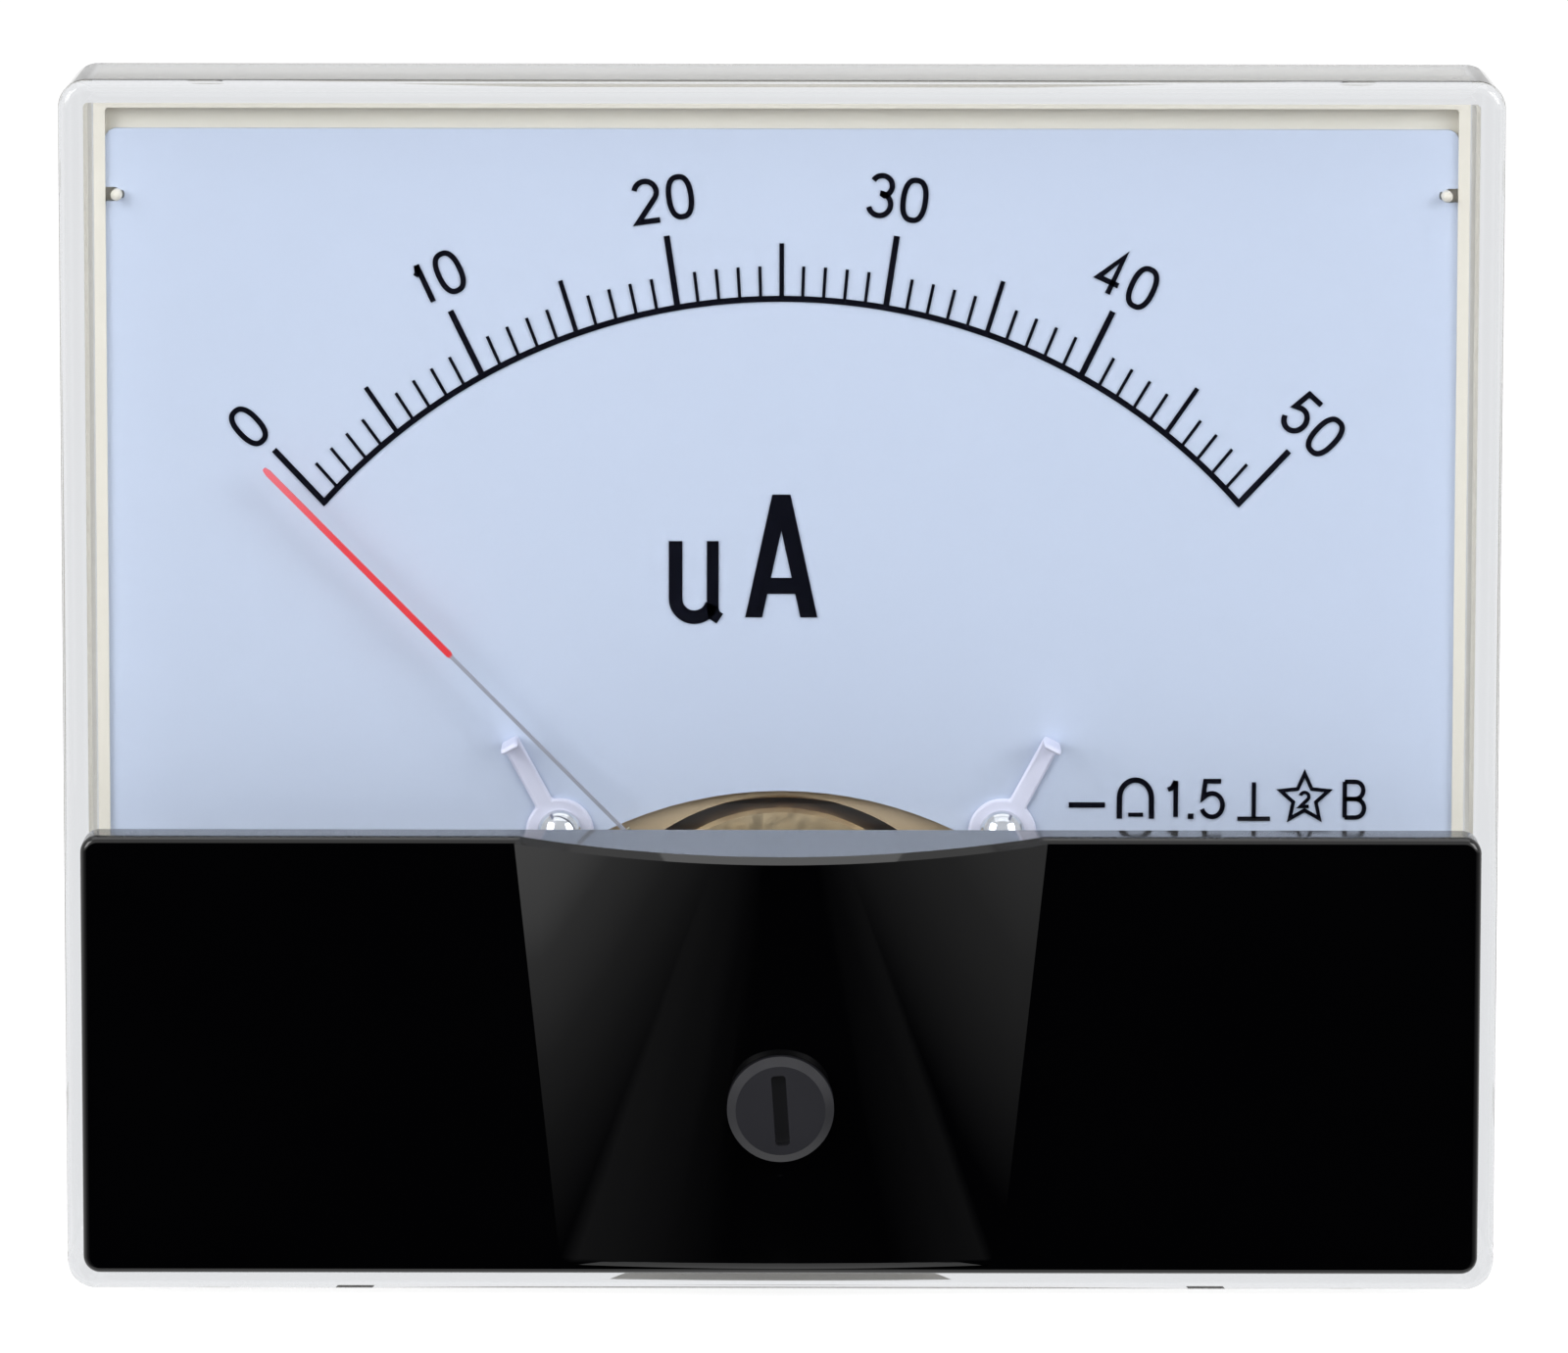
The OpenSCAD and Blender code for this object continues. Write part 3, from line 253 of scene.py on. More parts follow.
def skinned_material(name, first, second, rough, bump, grain=900.0, wave=60.0,
                     specular=0.5, coat=0.0):
    """A moulded or painted finish, from the shared skin group."""
    made, tree, shader, place = new_material(name)
    skin = add_node(tree, "ShaderNodeGroup", (-600, 0), node_tree=TREES["skin"])
    skin.inputs["Grain Scale"].default_value = grain
    skin.inputs["Wave Scale"].default_value = wave
    link(tree, place.outputs["Object"], skin.inputs["Vector"])
    link(tree, blend_colours(tree, skin.outputs["Tone"], first, second, (-300, 200)),
         shader.inputs["Base Color"])
    link(tree, ranged(tree, skin.outputs["Tone"], rough[0], rough[1], (-300, 0)),
         shader.inputs["Roughness"])
    dent = add_node(tree, "ShaderNodeBump", (-300, -250))
    dent.inputs["Strength"].default_value = 1.0
    dent.inputs["Distance"].default_value = bump * MM
    link(tree, skin.outputs["Height"], dent.inputs["Height"])
    link(tree, dent.outputs["Normal"], shader.inputs["Normal"])
    shader.inputs["Specular IOR Level"].default_value = specular
    shader.inputs["Coat Weight"].default_value = coat
    shader.inputs["Coat Roughness"].default_value = 0.05
    return made


def metal_material(name, bright, tarnished, rough, streak=1400.0):
    """A metal finish, from the shared metal group."""
    made, tree, shader, place = new_material(name)
    metal = add_node(tree, "ShaderNodeGroup", (-600, 0), node_tree=TREES["metal"])
    metal.inputs["Streak Scale"].default_value = streak
    metal.inputs["Tarnish Scale"].default_value = 220.0
    link(tree, place.outputs["Object"], metal.inputs["Vector"])
    link(tree, blend_colours(tree, metal.outputs["Tarnish"], bright, tarnished, (-300, 200)),
         shader.inputs["Base Color"])
    link(tree, ranged(tree, metal.outputs["Streak"], rough[0], rough[1], (-300, 0)),
         shader.inputs["Roughness"])
    dent = add_node(tree, "ShaderNodeBump", (-300, -250))
    dent.inputs["Distance"].default_value = METAL_DENT * MM
    link(tree, metal.outputs["Streak"], dent.inputs["Height"])
    link(tree, dent.outputs["Normal"], shader.inputs["Normal"])
    shader.inputs["Metallic"].default_value = 1.0
    return made


def clear_material():
    """Polished clear styrene that lets the lamps through."""
    made, tree, shader, place = new_material("clear_styrene")
    out = next(n for n in tree.nodes if n.type == "OUTPUT_MATERIAL")
    shader.inputs["Transmission Weight"].default_value = 1.0
    shader.inputs["IOR"].default_value = 1.49
    skin = add_node(tree, "ShaderNodeGroup", (-600, 0), node_tree=TREES["skin"])
    skin.inputs["Grain Scale"].default_value = 300.0
    skin.inputs["Wave Scale"].default_value = 25.0
    link(tree, place.outputs["Object"], skin.inputs["Vector"])
    link(tree, blend_colours(tree, skin.outputs["Tone"], colour(233, 234, 236),
                             colour(230, 232, 235), (-300, 200)),
         shader.inputs["Base Color"])
    link(tree, ranged(tree, skin.outputs["Tone"], 0.0, 0.015, (-300, 0)),
         shader.inputs["Roughness"])
    through = add_node(tree, "ShaderNodeBsdfTransparent", (300, -250))
    through.inputs["Color"].default_value = (0.96, 0.965, 0.97, 1.0)
    path = add_node(tree, "ShaderNodeLightPath", (100, 300))
    mix = add_node(tree, "ShaderNodeMixShader", (500, 100))
    link(tree, path.outputs["Is Shadow Ray"], mix.inputs["Fac"])
    link(tree, shader.outputs["BSDF"], mix.inputs[1])
    link(tree, through.outputs["BSDF"], mix.inputs[2])
    link(tree, mix.outputs["Shader"], out.inputs["Surface"])
    return made


def pointer_material():
    """Red paint on the pointer's end over bare aluminium, parted at a radius."""
    made, tree, shader, place = new_material("pointer_paint")
    shift = add_node(tree, "ShaderNodeMapping", (-700, 0))
    shift.inputs["Location"].default_value = (0.0, 0.0, -PIVOT_Z * MM)
    flat = add_node(tree, "ShaderNodeMapping", (-500, 0))
    flat.inputs["Scale"].default_value = (1.0, 0.0, 1.0)
    reach = add_node(tree, "ShaderNodeVectorMath", (-300, 0), operation="LENGTH")
    link(tree, place.outputs["Object"], shift.inputs["Vector"])
    link(tree, shift.outputs["Vector"], flat.inputs["Vector"])
    link(tree, flat.outputs["Vector"], reach.inputs[0])
    ramp = add_node(tree, "ShaderNodeValToRGB", (0, 100))
    span = ranged(tree, reach.outputs["Value"], 0.0, 1.0, (-100, -100),
                  POINTER_PAINT_FROM * MM, POINTER_END * MM)
    link(tree, span, ramp.inputs["Fac"])
    ramp.color_ramp.elements[0].position = 0.0
    ramp.color_ramp.elements[0].color = colour(156, 158, 168)
    ramp.color_ramp.elements[1].position = 1.0
    ramp.color_ramp.elements[1].color = colour(238, 112, 122)
    for position, paint in ((0.012, colour(226, 44, 52)), (0.6, colour(232, 62, 70))):
        element = ramp.color_ramp.elements.new(position)
        element.color = paint
    link(tree, ramp.outputs["Color"], shader.inputs["Base Color"])
    link(tree, ranged(tree, span, 0.3, 0.45, (0, -200), 0.0, 0.02),
         shader.inputs["Roughness"])
    return made


# ---------- shapes ----------

def settled_mesh(mesh, name, angle, bevel=0.0, segments=2):
    """Eases a mesh's edges if asked, and smooths its rounds while flats stay flat."""
    mesh.shade_smooth()
    mesh.set_sharp_from_angle(angle=math.radians(angle))
    temp = bpy.data.objects.new(name + "_work", mesh)
    bpy.context.scene.collection.objects.link(temp)
    if bevel:
        ease = temp.modifiers.new("ease", "BEVEL")
        ease.width = bevel * MM
        ease.segments = segments
        ease.limit_method = "ANGLE"
        ease.angle_limit = math.radians(40.0)
        ease.use_clamp_overlap = True
    weigh = temp.modifiers.new("weigh", "WEIGHTED_NORMAL")
    weigh.mode = "FACE_AREA"
    weigh.weight = 90
    weigh.keep_sharp = True
    graph = bpy.context.evaluated_depsgraph_get()
    settled = bpy.data.meshes.new_from_object(temp.evaluated_get(graph))
    settled.name = name
    bpy.data.objects.remove(temp)
    return settled


def finish_object(name, mesh, material, body, node_names=(), smooth=None):
    """Places a mesh as a piece of the object on its body."""
    if smooth is not None:
        mesh = settled_mesh(mesh, name, smooth)
    made = bpy.data.objects.new(name, mesh)
    bpy.context.scene.collection.objects.link(made)
    mesh.materials.clear()
    mesh.materials.append(material)
    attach(made, body)
    if node_names:
        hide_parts(*node_names)
    return made


def smooth_copy(node, name, material, angle=30.0, bevel=0.0, segments=2):
    """A merged copy of a node with smooth round faces and, if asked, eased edges."""
    mesh = NODES[node].data.copy()
    for attribute in [a for a in mesh.attributes if a.name == "custom_normal"]:
        mesh.attributes.remove(attribute)
    work = bmesh.new()
    work.from_mesh(mesh)
    bmesh.ops.remove_doubles(work, verts=work.verts, dist=0.002 * MM)
    bmesh.ops.dissolve_degenerate(work, dist=0.0005 * MM, edges=work.edges)
    bmesh.ops.dissolve_limit(work, angle_limit=math.radians(0.2), verts=work.verts,
                             edges=work.edges)
    work.to_mesh(mesh)
    work.free()
    mesh = settled_mesh(mesh, name, angle, bevel, segments)
    return finish_object(name, mesh, material, NODES[node]["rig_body"], (node,))


# ---------- print: strokes laid on the dial ----------

# Points of a stroke nearer than this, in millimetres, count as one
NEAREST_POINTS = 0.02

# Least share of a stroke's half width that a corner's miter is divided by
SHARPEST_CORNER = 0.35


def ribbon(work, points, width, closed=False):
    """Lays a flat stroke of even width along points of the dial's plane."""
    kept = [points[0]]
    for p in points[1:]:
        if math.dist(p, kept[-1]) > NEAREST_POINTS:
            kept.append(p)
    points = kept
    count = len(points)
    half = width / 2
    left, right = [], []
    for i, p in enumerate(points):
        p = Vector(p)
        before = Vector(points[i - 1]) if (i > 0 or closed) else None
        after = Vector(points[(i + 1) % count]) if (i < count - 1 or closed) else None
        along_in = (p - before).normalized() if before is not None else None
        along_out = (after - p).normalized() if after is not None else None
        if along_in is None:
            along_in = along_out
        if along_out is None:
            along_out = along_in
        n_in = Vector((-along_in.y, along_in.x))
        n_out = Vector((-along_out.y, along_out.x))
        mid = n_in + n_out
        mid = n_in if mid.length < 1e-6 else mid.normalized()
        reach = half / max(mid.dot(n_in), SHARPEST_CORNER)
        left.append(p + mid * reach)
        right.append(p - mid * reach)
    rows = []
    for l, r in zip(left, right):
        rows.append([
            work.verts.new((l.x * MM, PRINT_FRONT * MM, l.y * MM)),
            work.verts.new((r.x * MM, PRINT_FRONT * MM, r.y * MM)),
            work.verts.new((r.x * MM, DIAL_FACE * MM, r.y * MM)),
            work.verts.new((l.x * MM, DIAL_FACE * MM, l.y * MM)),
        ])
    spans = list(zip(rows, rows[1:] + ([rows[0]] if closed else [])))
    if not closed:
        spans = spans[:count - 1]
    for a, b in spans:
        for k in range(4):
            work.faces.new((a[k], a[(k + 1) % 4], b[(k + 1) % 4], b[k]))
    if not closed:
        work.faces.new(rows[0][::-1])
        work.faces.new(rows[-1])


def solid_area(work, points):
    """A filled flat shape on the dial's plane."""
    top = [work.verts.new((x * MM, PRINT_FRONT * MM, z * MM)) for x, z in points]
    low = [work.verts.new((x * MM, DIAL_FACE * MM, z * MM)) for x, z in points]
    work.faces.new(top)
    work.faces.new(low[::-1])
    for k in range(len(points)):
        n = (k + 1) % len(points)
        work.faces.new((top[k], low[k], low[n], top[n]))


def arc_points(cx, cy, rx, ry, start, end, steps=20):
    """Points on an ellipse, with angles in degrees from +x, counter-clockwise."""
    return [
        (cx + rx * math.cos(math.radians(start + (end - start) * k / steps)),
         cy + ry * math.sin(math.radians(start + (end - start) * k / steps)))
        for k in range(steps + 1)
    ]


def figure_strokes(sign, w, h):
    """Strokes of a narrow upright figure in a box w wide and h high, centred."""
    a, b = w / 2, h / 2
    if sign == "0":
        loop = []
        for k in range(36):
            c, s = math.cos(math.tau * k / 36), math.sin(math.tau * k / 36)
            loop.append((a * math.copysign(abs(c) ** 0.78, c),
                         b * math.copysign(abs(s) ** 0.86, s)))
        return [(loop, True)]
    if sign == "1":
        return [([(-a * 0.75, b * 0.52), (-a * 0.2, b * 0.62), (a * 0.25, b)], False),
                ([(a * 0.25, b + 0.02), (a * 0.25, -b)], False)]
    if sign == "2":
        bowl = arc_points(0, b - a, a, a, 165, -35, 16)
        return [(bowl + [(-a * 0.98, -b), (a, -b)], False)]
    if sign == "3":
        top = arc_points(0, b - a * 0.92, a * 0.92, a * 0.92, 155, -70, 16)
        low = arc_points(0, -b + a * 1.02, a, a * 1.02, 80, -160, 18)
        return [(top + [(0.0, 0.06 * h)], False), ([(-a * 0.1, 0.06 * h)] + low, False)]
    if sign == "4":
        return [([(a * 0.4, -b), (a * 0.4, b), (-a, -b * 0.42), (a, -b * 0.42)], False)]
    if sign == "5":
        bowl = arc_points(0, -b + a * 1.12, a, a * 1.12, 118, -160, 18)
        return [([(a * 0.85, b), (-a * 0.62, b), (-a * 0.82, 0.04 * h)] + bowl, False)]
    if sign == "B":
        top = arc_points(a * 0.1, b * 0.52, a * 0.8, b * 0.48, 90, -90, 10)
        low = arc_points(a * 0.1, -b * 0.48, a * 0.9, b * 0.52, 90, -90, 10)
        return [([(-a, b), (-a, -b)], False),
                ([(-a, b)] + top + [(-a, b * 0.04)], False),
                ([(-a, b * 0.04)] + low + [(-a, -b)], False)]
    raise ValueError("no strokes are drawn for " + sign)


def place_strokes(work, strokes, width, at, turn):
    """Turns strokes clockwise by turn degrees and lays them round a point."""
    c, s = math.cos(math.radians(turn)), math.sin(math.radians(turn))
    for points, closed in strokes:
        moved = [(at[0] + x * c + y * s, at[1] - x * s + y * c) for x, y in points]
        ribbon(work, moved, width, closed)


def letter_mesh(name, draw):
    """A mesh of flat strokes that a function draws into a work mesh."""
    work = bmesh.new()
    draw(work)
    bmesh.ops.recalc_face_normals(work, faces=work.faces)
    bmesh.ops.triangulate(work, faces=work.faces)
    mesh = bpy.data.meshes.new(name)
    work.to_mesh(mesh)
    work.free()
    return mesh


# How far the unit and the symbols stand above their drawn heights
UNIT_LIFT = 0.27

# One line for each number: the value, its middle on the dial, and its turn
NUMERALS = [
    ("0", -37.4, 17.35, -43.0),
    ("10", -24.0, 27.9, -25.0),
    ("20", -8.3, 33.4, -8.0),
    ("30", 8.1, 33.5, 8.0),
    ("40", 24.2, 27.7, 25.0),
    ("50", 37.3, 17.55, 43.0),
]


def draw_numerals(work, settings):
    """The scale's numbers, each turned to face the pivot."""
    h, w, stroke, gap = (length_mm(settings, "numeral_" + part)
                         for part in ("height", "width", "stroke", "gap"))
    for text, x, z, turn in NUMERALS:
        widths = [w * 0.5 if c == "1" else w for c in text]
        total = sum(widths) + gap * (len(text) - 1)
        pen = -total / 2
        for c, wide in zip(text, widths):
            strokes = [
                ([(px + pen + wide / 2, py) for px, py in points], closed)
                for points, closed in figure_strokes(c, wide, h)
            ]
            place_strokes(work, strokes, stroke, (x, z), turn)
            pen += wide + gap


def draw_unit(work):
    """The small prefix and the capital of the unit, under the scale."""
    stem, left, right, lift = 0.95, -7.43, -4.82, UNIT_LIFT
    middle, reach = (left + right) / 2, (right - left) / 2
    bowl = arc_points(middle, 4.9 + lift, reach, 1.3, 180, 342, 18)
    ribbon(work, [(left, 9.0 + lift), (left, 4.9 + lift)] + bowl, stem)
    ribbon(work, [(right, 9.0 + lift), (right, 4.2 + lift), (right + 0.12, 3.75 + lift),
                  (right + 0.5, 3.5 + lift)], stem * 0.88)
    half_top, half_foot, low, high = 0.64, 2.54, 3.6 + lift, 12.3 + lift
    thick, bar_low, bar_high = 1.2, 5.27 + lift, 6.4 + lift
    lean = (half_foot - half_top) / (high - low)
    peak = low + (half_foot - thick) / lean
    for s in (-1, 1):
        solid_area(work, [(s * half_foot, low), (s * (half_foot - thick), low),
                          (0.0, peak), (0.0, high), (s * half_top, high)])
    inner_low = half_foot - thick - lean * (bar_low - low)
    inner_high = half_foot - thick - lean * (bar_high - low)
    solid_area(work, [(-inner_low, bar_low), (inner_low, bar_low),
                      (inner_high, bar_high), (-inner_high, bar_high)])


def draw_symbols(work):
    """Generic marks of the movement's kind, class and use, at the lower right."""
    line, z0 = 0.3, UNIT_LIFT
    ribbon(work, [(20.3, -9.73 + z0), (22.85, -9.73 + z0)], 0.37)
    legs = arc_points(25.0, -9.25 + z0, 1.13, 1.3, 0, 180, 16)
    ribbon(work, [(26.13, -10.7 + z0)] + legs + [(23.87, -10.7 + z0)], 0.38)
    ribbon(work, [(24.5, -10.42 + z0), (25.55, -10.42 + z0)], 0.28)
    for sign, x, wide in (("1", 27.7, 1.1), ("5", 30.4, 1.5)):
        place_strokes(work, figure_strokes(sign, wide, 2.55), 0.33, (x, -9.3 + z0), 0)
    solid_area(work, [(28.7, -10.72 + z0), (29.1, -10.72 + z0), (29.1, -10.34 + z0),
                      (28.7, -10.34 + z0)])
    ribbon(work, [(33.35, -8.1 + z0), (33.35, -10.7 + z0)], line)
    ribbon(work, [(32.2, -10.7 + z0), (34.5, -10.7 + z0)], line)
    star = []
    for k in range(10):
        reach = 1.78 if k % 2 == 0 else 0.84
        turn = math.radians(90 + 36 * k)
        star.append((36.93 + reach * math.cos(turn), -9.25 + z0 + reach * math.sin(turn)))
    ribbon(work, star, 0.26, closed=True)
    place_strokes(work, figure_strokes("2", 0.6, 1.0), 0.24, (36.93, -9.32 + z0), 0)
    place_strokes(work, figure_strokes("B", 1.38, 2.55), 0.31, (40.45, -9.33 + z0), 0)


# ---------- geometry node trees ----------

def tree_for(name, inputs):
    """An empty geometry tree with a mesh in, named sizes, and a mesh out."""
    tree = bpy.data.node_groups.new(name, "GeometryNodeTree")
    tree.is_modifier = True
    tree.interface.new_socket(name="Geometry", in_out="INPUT",
                              socket_type="NodeSocketGeometry")
    for label, kind, value in inputs:
        made = tree.interface.new_socket(name=label, in_out="INPUT", socket_type=kind)
        if value is not None:
            made.default_value = value
    tree.interface.new_socket(name="Geometry", in_out="OUTPUT",
                              socket_type="NodeSocketGeometry")
    g_in = add_node(tree, "NodeGroupInput", (-1200, 0))
    g_out = add_node(tree, "NodeGroupOutput", (1200, 0))
    return tree, g_in, g_out


def end_tree(tree, geometry, g_in, g_out):
    """Realizes the instances and sets the finish, as each tree ends."""
    real = add_node(tree, "GeometryNodeRealizeInstances", (800, 0))
    paint = add_node(tree, "GeometryNodeSetMaterial", (1000, 0))
    link(tree, geometry, real.inputs["Geometry"])
    link(tree, real.outputs["Geometry"], paint.inputs["Geometry"])
    link(tree, g_in.outputs["Material"], paint.inputs["Material"])
    link(tree, paint.outputs["Geometry"], g_out.inputs["Geometry"])
    return tree


def feed(tree, node, values):
    """Sets a node's inputs in order, from sockets or numbers; returns its output."""
    for place, value in zip(node.inputs, values):
        if isinstance(value, (int, float)):
            place.default_value = value
        elif value is not None:
            link(tree, value, place)
    return node.outputs[0]


def maths(tree, operation, a, b=None, c=None, at=(0, 0)):
    """A sum of sockets or numbers; returns the result socket."""
    return feed(tree, add_node(tree, "ShaderNodeMath", at, operation=operation), (a, b, c))


def vector_of(tree, x=0.0, y=0.0, z=0.0, at=(0, 0)):
    """A vector of sockets or numbers; returns its socket."""
    return feed(tree, add_node(tree, "ShaderNodeCombineXYZ", at), (x, y, z))


def thread_tree():
    """Helical ridges for the studs that come in, at the points of a grid.

    The profile's ridges point inward as it stands, so that only its foot shows.
    """
    tree, g_in, g_out = tree_for("stud_threads", [
        ("Radius", "NodeSocketFloat", 1.5 * MM),
        ("Pitch", "NodeSocketFloat", 0.5 * MM),
        ("Start", "NodeSocketFloat", 0.0),
        ("Length", "NodeSocketFloat", 10 * MM),
        ("Span X", "NodeSocketFloat", 10 * MM),
        ("Span Z", "NodeSocketFloat", 10 * MM),
        ("Rows X", "NodeSocketInt", 2),
        ("Rows Z", "NodeSocketInt", 2),
        ("Centre Z", "NodeSocketFloat", 0.0),
        ("Material", "NodeSocketMaterial", None),
    ])
    get = g_in.outputs
    turns = maths(tree, "DIVIDE", get["Length"], get["Pitch"], at=(-1000, 200))
    depth = maths(tree, "MULTIPLY", get["Pitch"], THREAD_DEPTH, at=(-1000, 0))
    minor = maths(tree, "SUBTRACT", get["Radius"], depth, at=(-850, 0))
    helix = add_node(tree, "GeometryNodeCurveSpiral", (-700, 200))
    helix.inputs["Resolution"].default_value = 28
    link(tree, turns, helix.inputs["Rotations"])
    link(tree, minor, helix.inputs["Start Radius"])
    link(tree, minor, helix.inputs["End Radius"])
    link(tree, get["Length"], helix.inputs["Height"])
    upright = add_node(tree, "GeometryNodeSetCurveNormal", (-500, 200), mode="Z_UP")
    link(tree, helix.outputs["Curve"], upright.inputs["Curve"])
    profile = add_node(tree, "GeometryNodeCurvePrimitiveQuadrilateral", (-700, -200),
                       mode="POINTS")
    root = maths(tree, "MULTIPLY", get["Pitch"], 0.46, at=(-1000, -200))
    low = maths(tree, "MULTIPLY", get["Pitch"], -0.46, at=(-1000, -300))
    crest = maths(tree, "MULTIPLY", get["Pitch"], 0.07, at=(-1000, -400))
    under = maths(tree, "MULTIPLY", get["Pitch"], -0.07, at=(-1000, -500))
    sunk = maths(tree, "MULTIPLY", depth, -0.15, at=(-850, -600))
    for k, (x, y) in enumerate(((sunk, low), (depth, under), (depth, crest), (sunk, root))):
        link(tree, vector_of(tree, x, y, at=(-850, -200 - 100 * k)),
             profile.inputs["Point %d" % (k + 1)])
    sweep = add_node(tree, "GeometryNodeCurveToMesh", (-300, 200))
    sweep.inputs["Fill Caps"].default_value = True
    link(tree, upright.outputs["Curve"], sweep.inputs["Curve"])
    link(tree, profile.outputs["Curve"], sweep.inputs["Profile Curve"])
    turned = add_node(tree, "GeometryNodeTransform", (-100, 200))
    turned.inputs["Rotation"].default_value = (-math.pi / 2, 0.0, 0.0)
    link(tree, sweep.outputs["Mesh"], turned.inputs["Geometry"])
    link(tree, vector_of(tree, 0.0, get["Start"], get["Centre Z"], at=(-300, 0)),
         turned.inputs["Translation"])
    grid = add_node(tree, "GeometryNodeMeshGrid", (-300, -200))
    link(tree, get["Span X"], grid.inputs["Size X"])
    link(tree, get["Span Z"], grid.inputs["Size Y"])
    link(tree, get["Rows X"], grid.inputs["Vertices X"])
    link(tree, get["Rows Z"], grid.inputs["Vertices Y"])
    stand = add_node(tree, "GeometryNodeTransform", (-100, -200))
    stand.inputs["Rotation"].default_value = (math.pi / 2, 0.0, 0.0)
    link(tree, grid.outputs["Mesh"], stand.inputs["Geometry"])
    spread = add_node(tree, "GeometryNodeInstanceOnPoints", (200, 0))
    link(tree, stand.outputs["Geometry"], spread.inputs["Points"])
    link(tree, turned.outputs["Geometry"], spread.inputs["Instance"])
    joined = add_node(tree, "GeometryNodeJoinGeometry", (500, 0))
    link(tree, spread.outputs["Instances"], joined.inputs["Geometry"])
    link(tree, get["Geometry"], joined.inputs["Geometry"])
    return end_tree(tree, joined.outputs["Geometry"], g_in, g_out)


def winding_tree():
    """Turns of fine wire, side by side, round a rectangular former."""
    tree, g_in, g_out = tree_for("coil_turns", [
        ("Half Width", "NodeSocketFloat", 8.7 * MM),
        ("Depth", "NodeSocketFloat", 12 * MM),
        ("Centre Y", "NodeSocketFloat", 0.0),
        ("Centre Z", "NodeSocketFloat", 0.0),
        ("Turns", "NodeSocketInt", 16),
        ("Spread", "NodeSocketFloat", 3.2 * MM),
        ("Wire Radius", "NodeSocketFloat", 0.1 * MM),
        ("Corner", "NodeSocketFloat", 0.5 * MM),
        ("Turn", "NodeSocketFloat", 0.0),
        ("Material", "NodeSocketMaterial", None),
    ])
    get = g_in.outputs
    loop = add_node(tree, "GeometryNodeCurvePrimitiveQuadrilateral", (-900, 0),
                    mode="RECTANGLE")
    link(tree, maths(tree, "MULTIPLY", get["Half Width"], 2.0, at=(-1050, 0)),
         loop.inputs["Width"])
    link(tree, get["Depth"], loop.inputs["Height"])
    ease = add_node(tree, "GeometryNodeFilletCurve", (-700, 0))
    ease.mode = "POLY"
    ease.inputs["Count"].default_value = 4
    link(tree, loop.outputs["Curve"], ease.inputs["Curve"])
    link(tree, get["Corner"], ease.inputs["Radius"])
    wire = add_node(tree, "GeometryNodeCurvePrimitiveCircle", (-700, -200))
    wire.inputs["Resolution"].default_value = 10
    link(tree, get["Wire Radius"], wire.inputs["Radius"])
    sweep = add_node(tree, "GeometryNodeCurveToMesh", (-500, 0))
    link(tree, ease.outputs["Curve"], sweep.inputs["Curve"])
    link(tree, wire.outputs["Curve"], sweep.inputs["Profile Curve"])
    rows = add_node(tree, "GeometryNodeMeshLine", (-700, 250), mode="END_POINTS")
    link(tree, get["Turns"], rows.inputs["Count"])
    half = maths(tree, "MULTIPLY", get["Spread"], 0.5, at=(-1050, 300))
    edge = maths(tree, "SUBTRACT", half, get["Wire Radius"], at=(-950, 300))
    back = maths(tree, "MULTIPLY", edge, -1.0, at=(-900, 400))
    link(tree, vector_of(tree, 0.0, 0.0, back, at=(-850, 400)),
         rows.inputs["Start Location"])
    link(tree, vector_of(tree, 0.0, 0.0, edge, at=(-850, 300)), rows.inputs["Offset"])
    laid = add_node(tree, "GeometryNodeInstanceOnPoints", (-200, 100))
    link(tree, rows.outputs["Mesh"], laid.inputs["Points"])
    link(tree, sweep.outputs["Mesh"], laid.inputs["Instance"])
    turned = add_node(tree, "GeometryNodeTransform", (0, 100))
    link(tree, laid.outputs["Instances"], turned.inputs["Geometry"])
    link(tree, vector_of(tree, 0.0, get["Turn"], 0.0, at=(-200, -100)),
         turned.inputs["Rotation"])
    link(tree, vector_of(tree, 0.0, get["Centre Y"], get["Centre Z"], at=(-200, -250)),
         turned.inputs["Translation"])
    joined = add_node(tree, "GeometryNodeJoinGeometry", (400, 0))
    link(tree, turned.outputs["Geometry"], joined.inputs["Geometry"])
    link(tree, get["Geometry"], joined.inputs["Geometry"])
    return end_tree(tree, joined.outputs["Geometry"], g_in, g_out)


def grown_mesh(name, base_mesh, tree, values):
    """Runs a geometry tree over a mesh and returns the plain mesh it makes."""
    temp = bpy.data.objects.new(name + "_work", base_mesh)
    bpy.context.scene.collection.objects.link(temp)
    grow = temp.modifiers.new("grow", "NODES")
    grow.node_group = tree
    for item in tree.interface.items_tree:
        if item.in_out == "INPUT" and item.name in values:
            grow[item.identifier] = values[item.name]
    graph = bpy.context.evaluated_depsgraph_get()
    mesh = bpy.data.meshes.new_from_object(temp.evaluated_get(graph))
    mesh.name = name
    temp.modifiers.remove(grow)
    bpy.data.objects.remove(temp)
    if not mesh.polygons:
        raise RuntimeError(name + " came out empty")
    work = bmesh.new()
    work.from_mesh(mesh)
    bmesh.ops.recalc_face_normals(work, faces=work.faces)
    work.to_mesh(mesh)
    work.free()
    return mesh


def lathe(work, profile, x, z, steps=40):
    """Turns a profile of (radius, y) about an axis along y, closed at both ends."""
    rings = []
    for radius, y in profile:
        rings.append([
            work.verts.new(((x + radius * math.cos(2 * math.pi * k / steps)) * MM, y * MM,
                            (z + radius * math.sin(2 * math.pi * k / steps)) * MM))
            for k in range(steps)
        ])
    for a, b in zip(rings, rings[1:]):
        for k in range(steps):
            n = (k + 1) % steps
            work.faces.new((a[k], a[n], b[n], b[k]))
    work.faces.new(rings[0])
    work.faces.new(rings[-1][::-1])


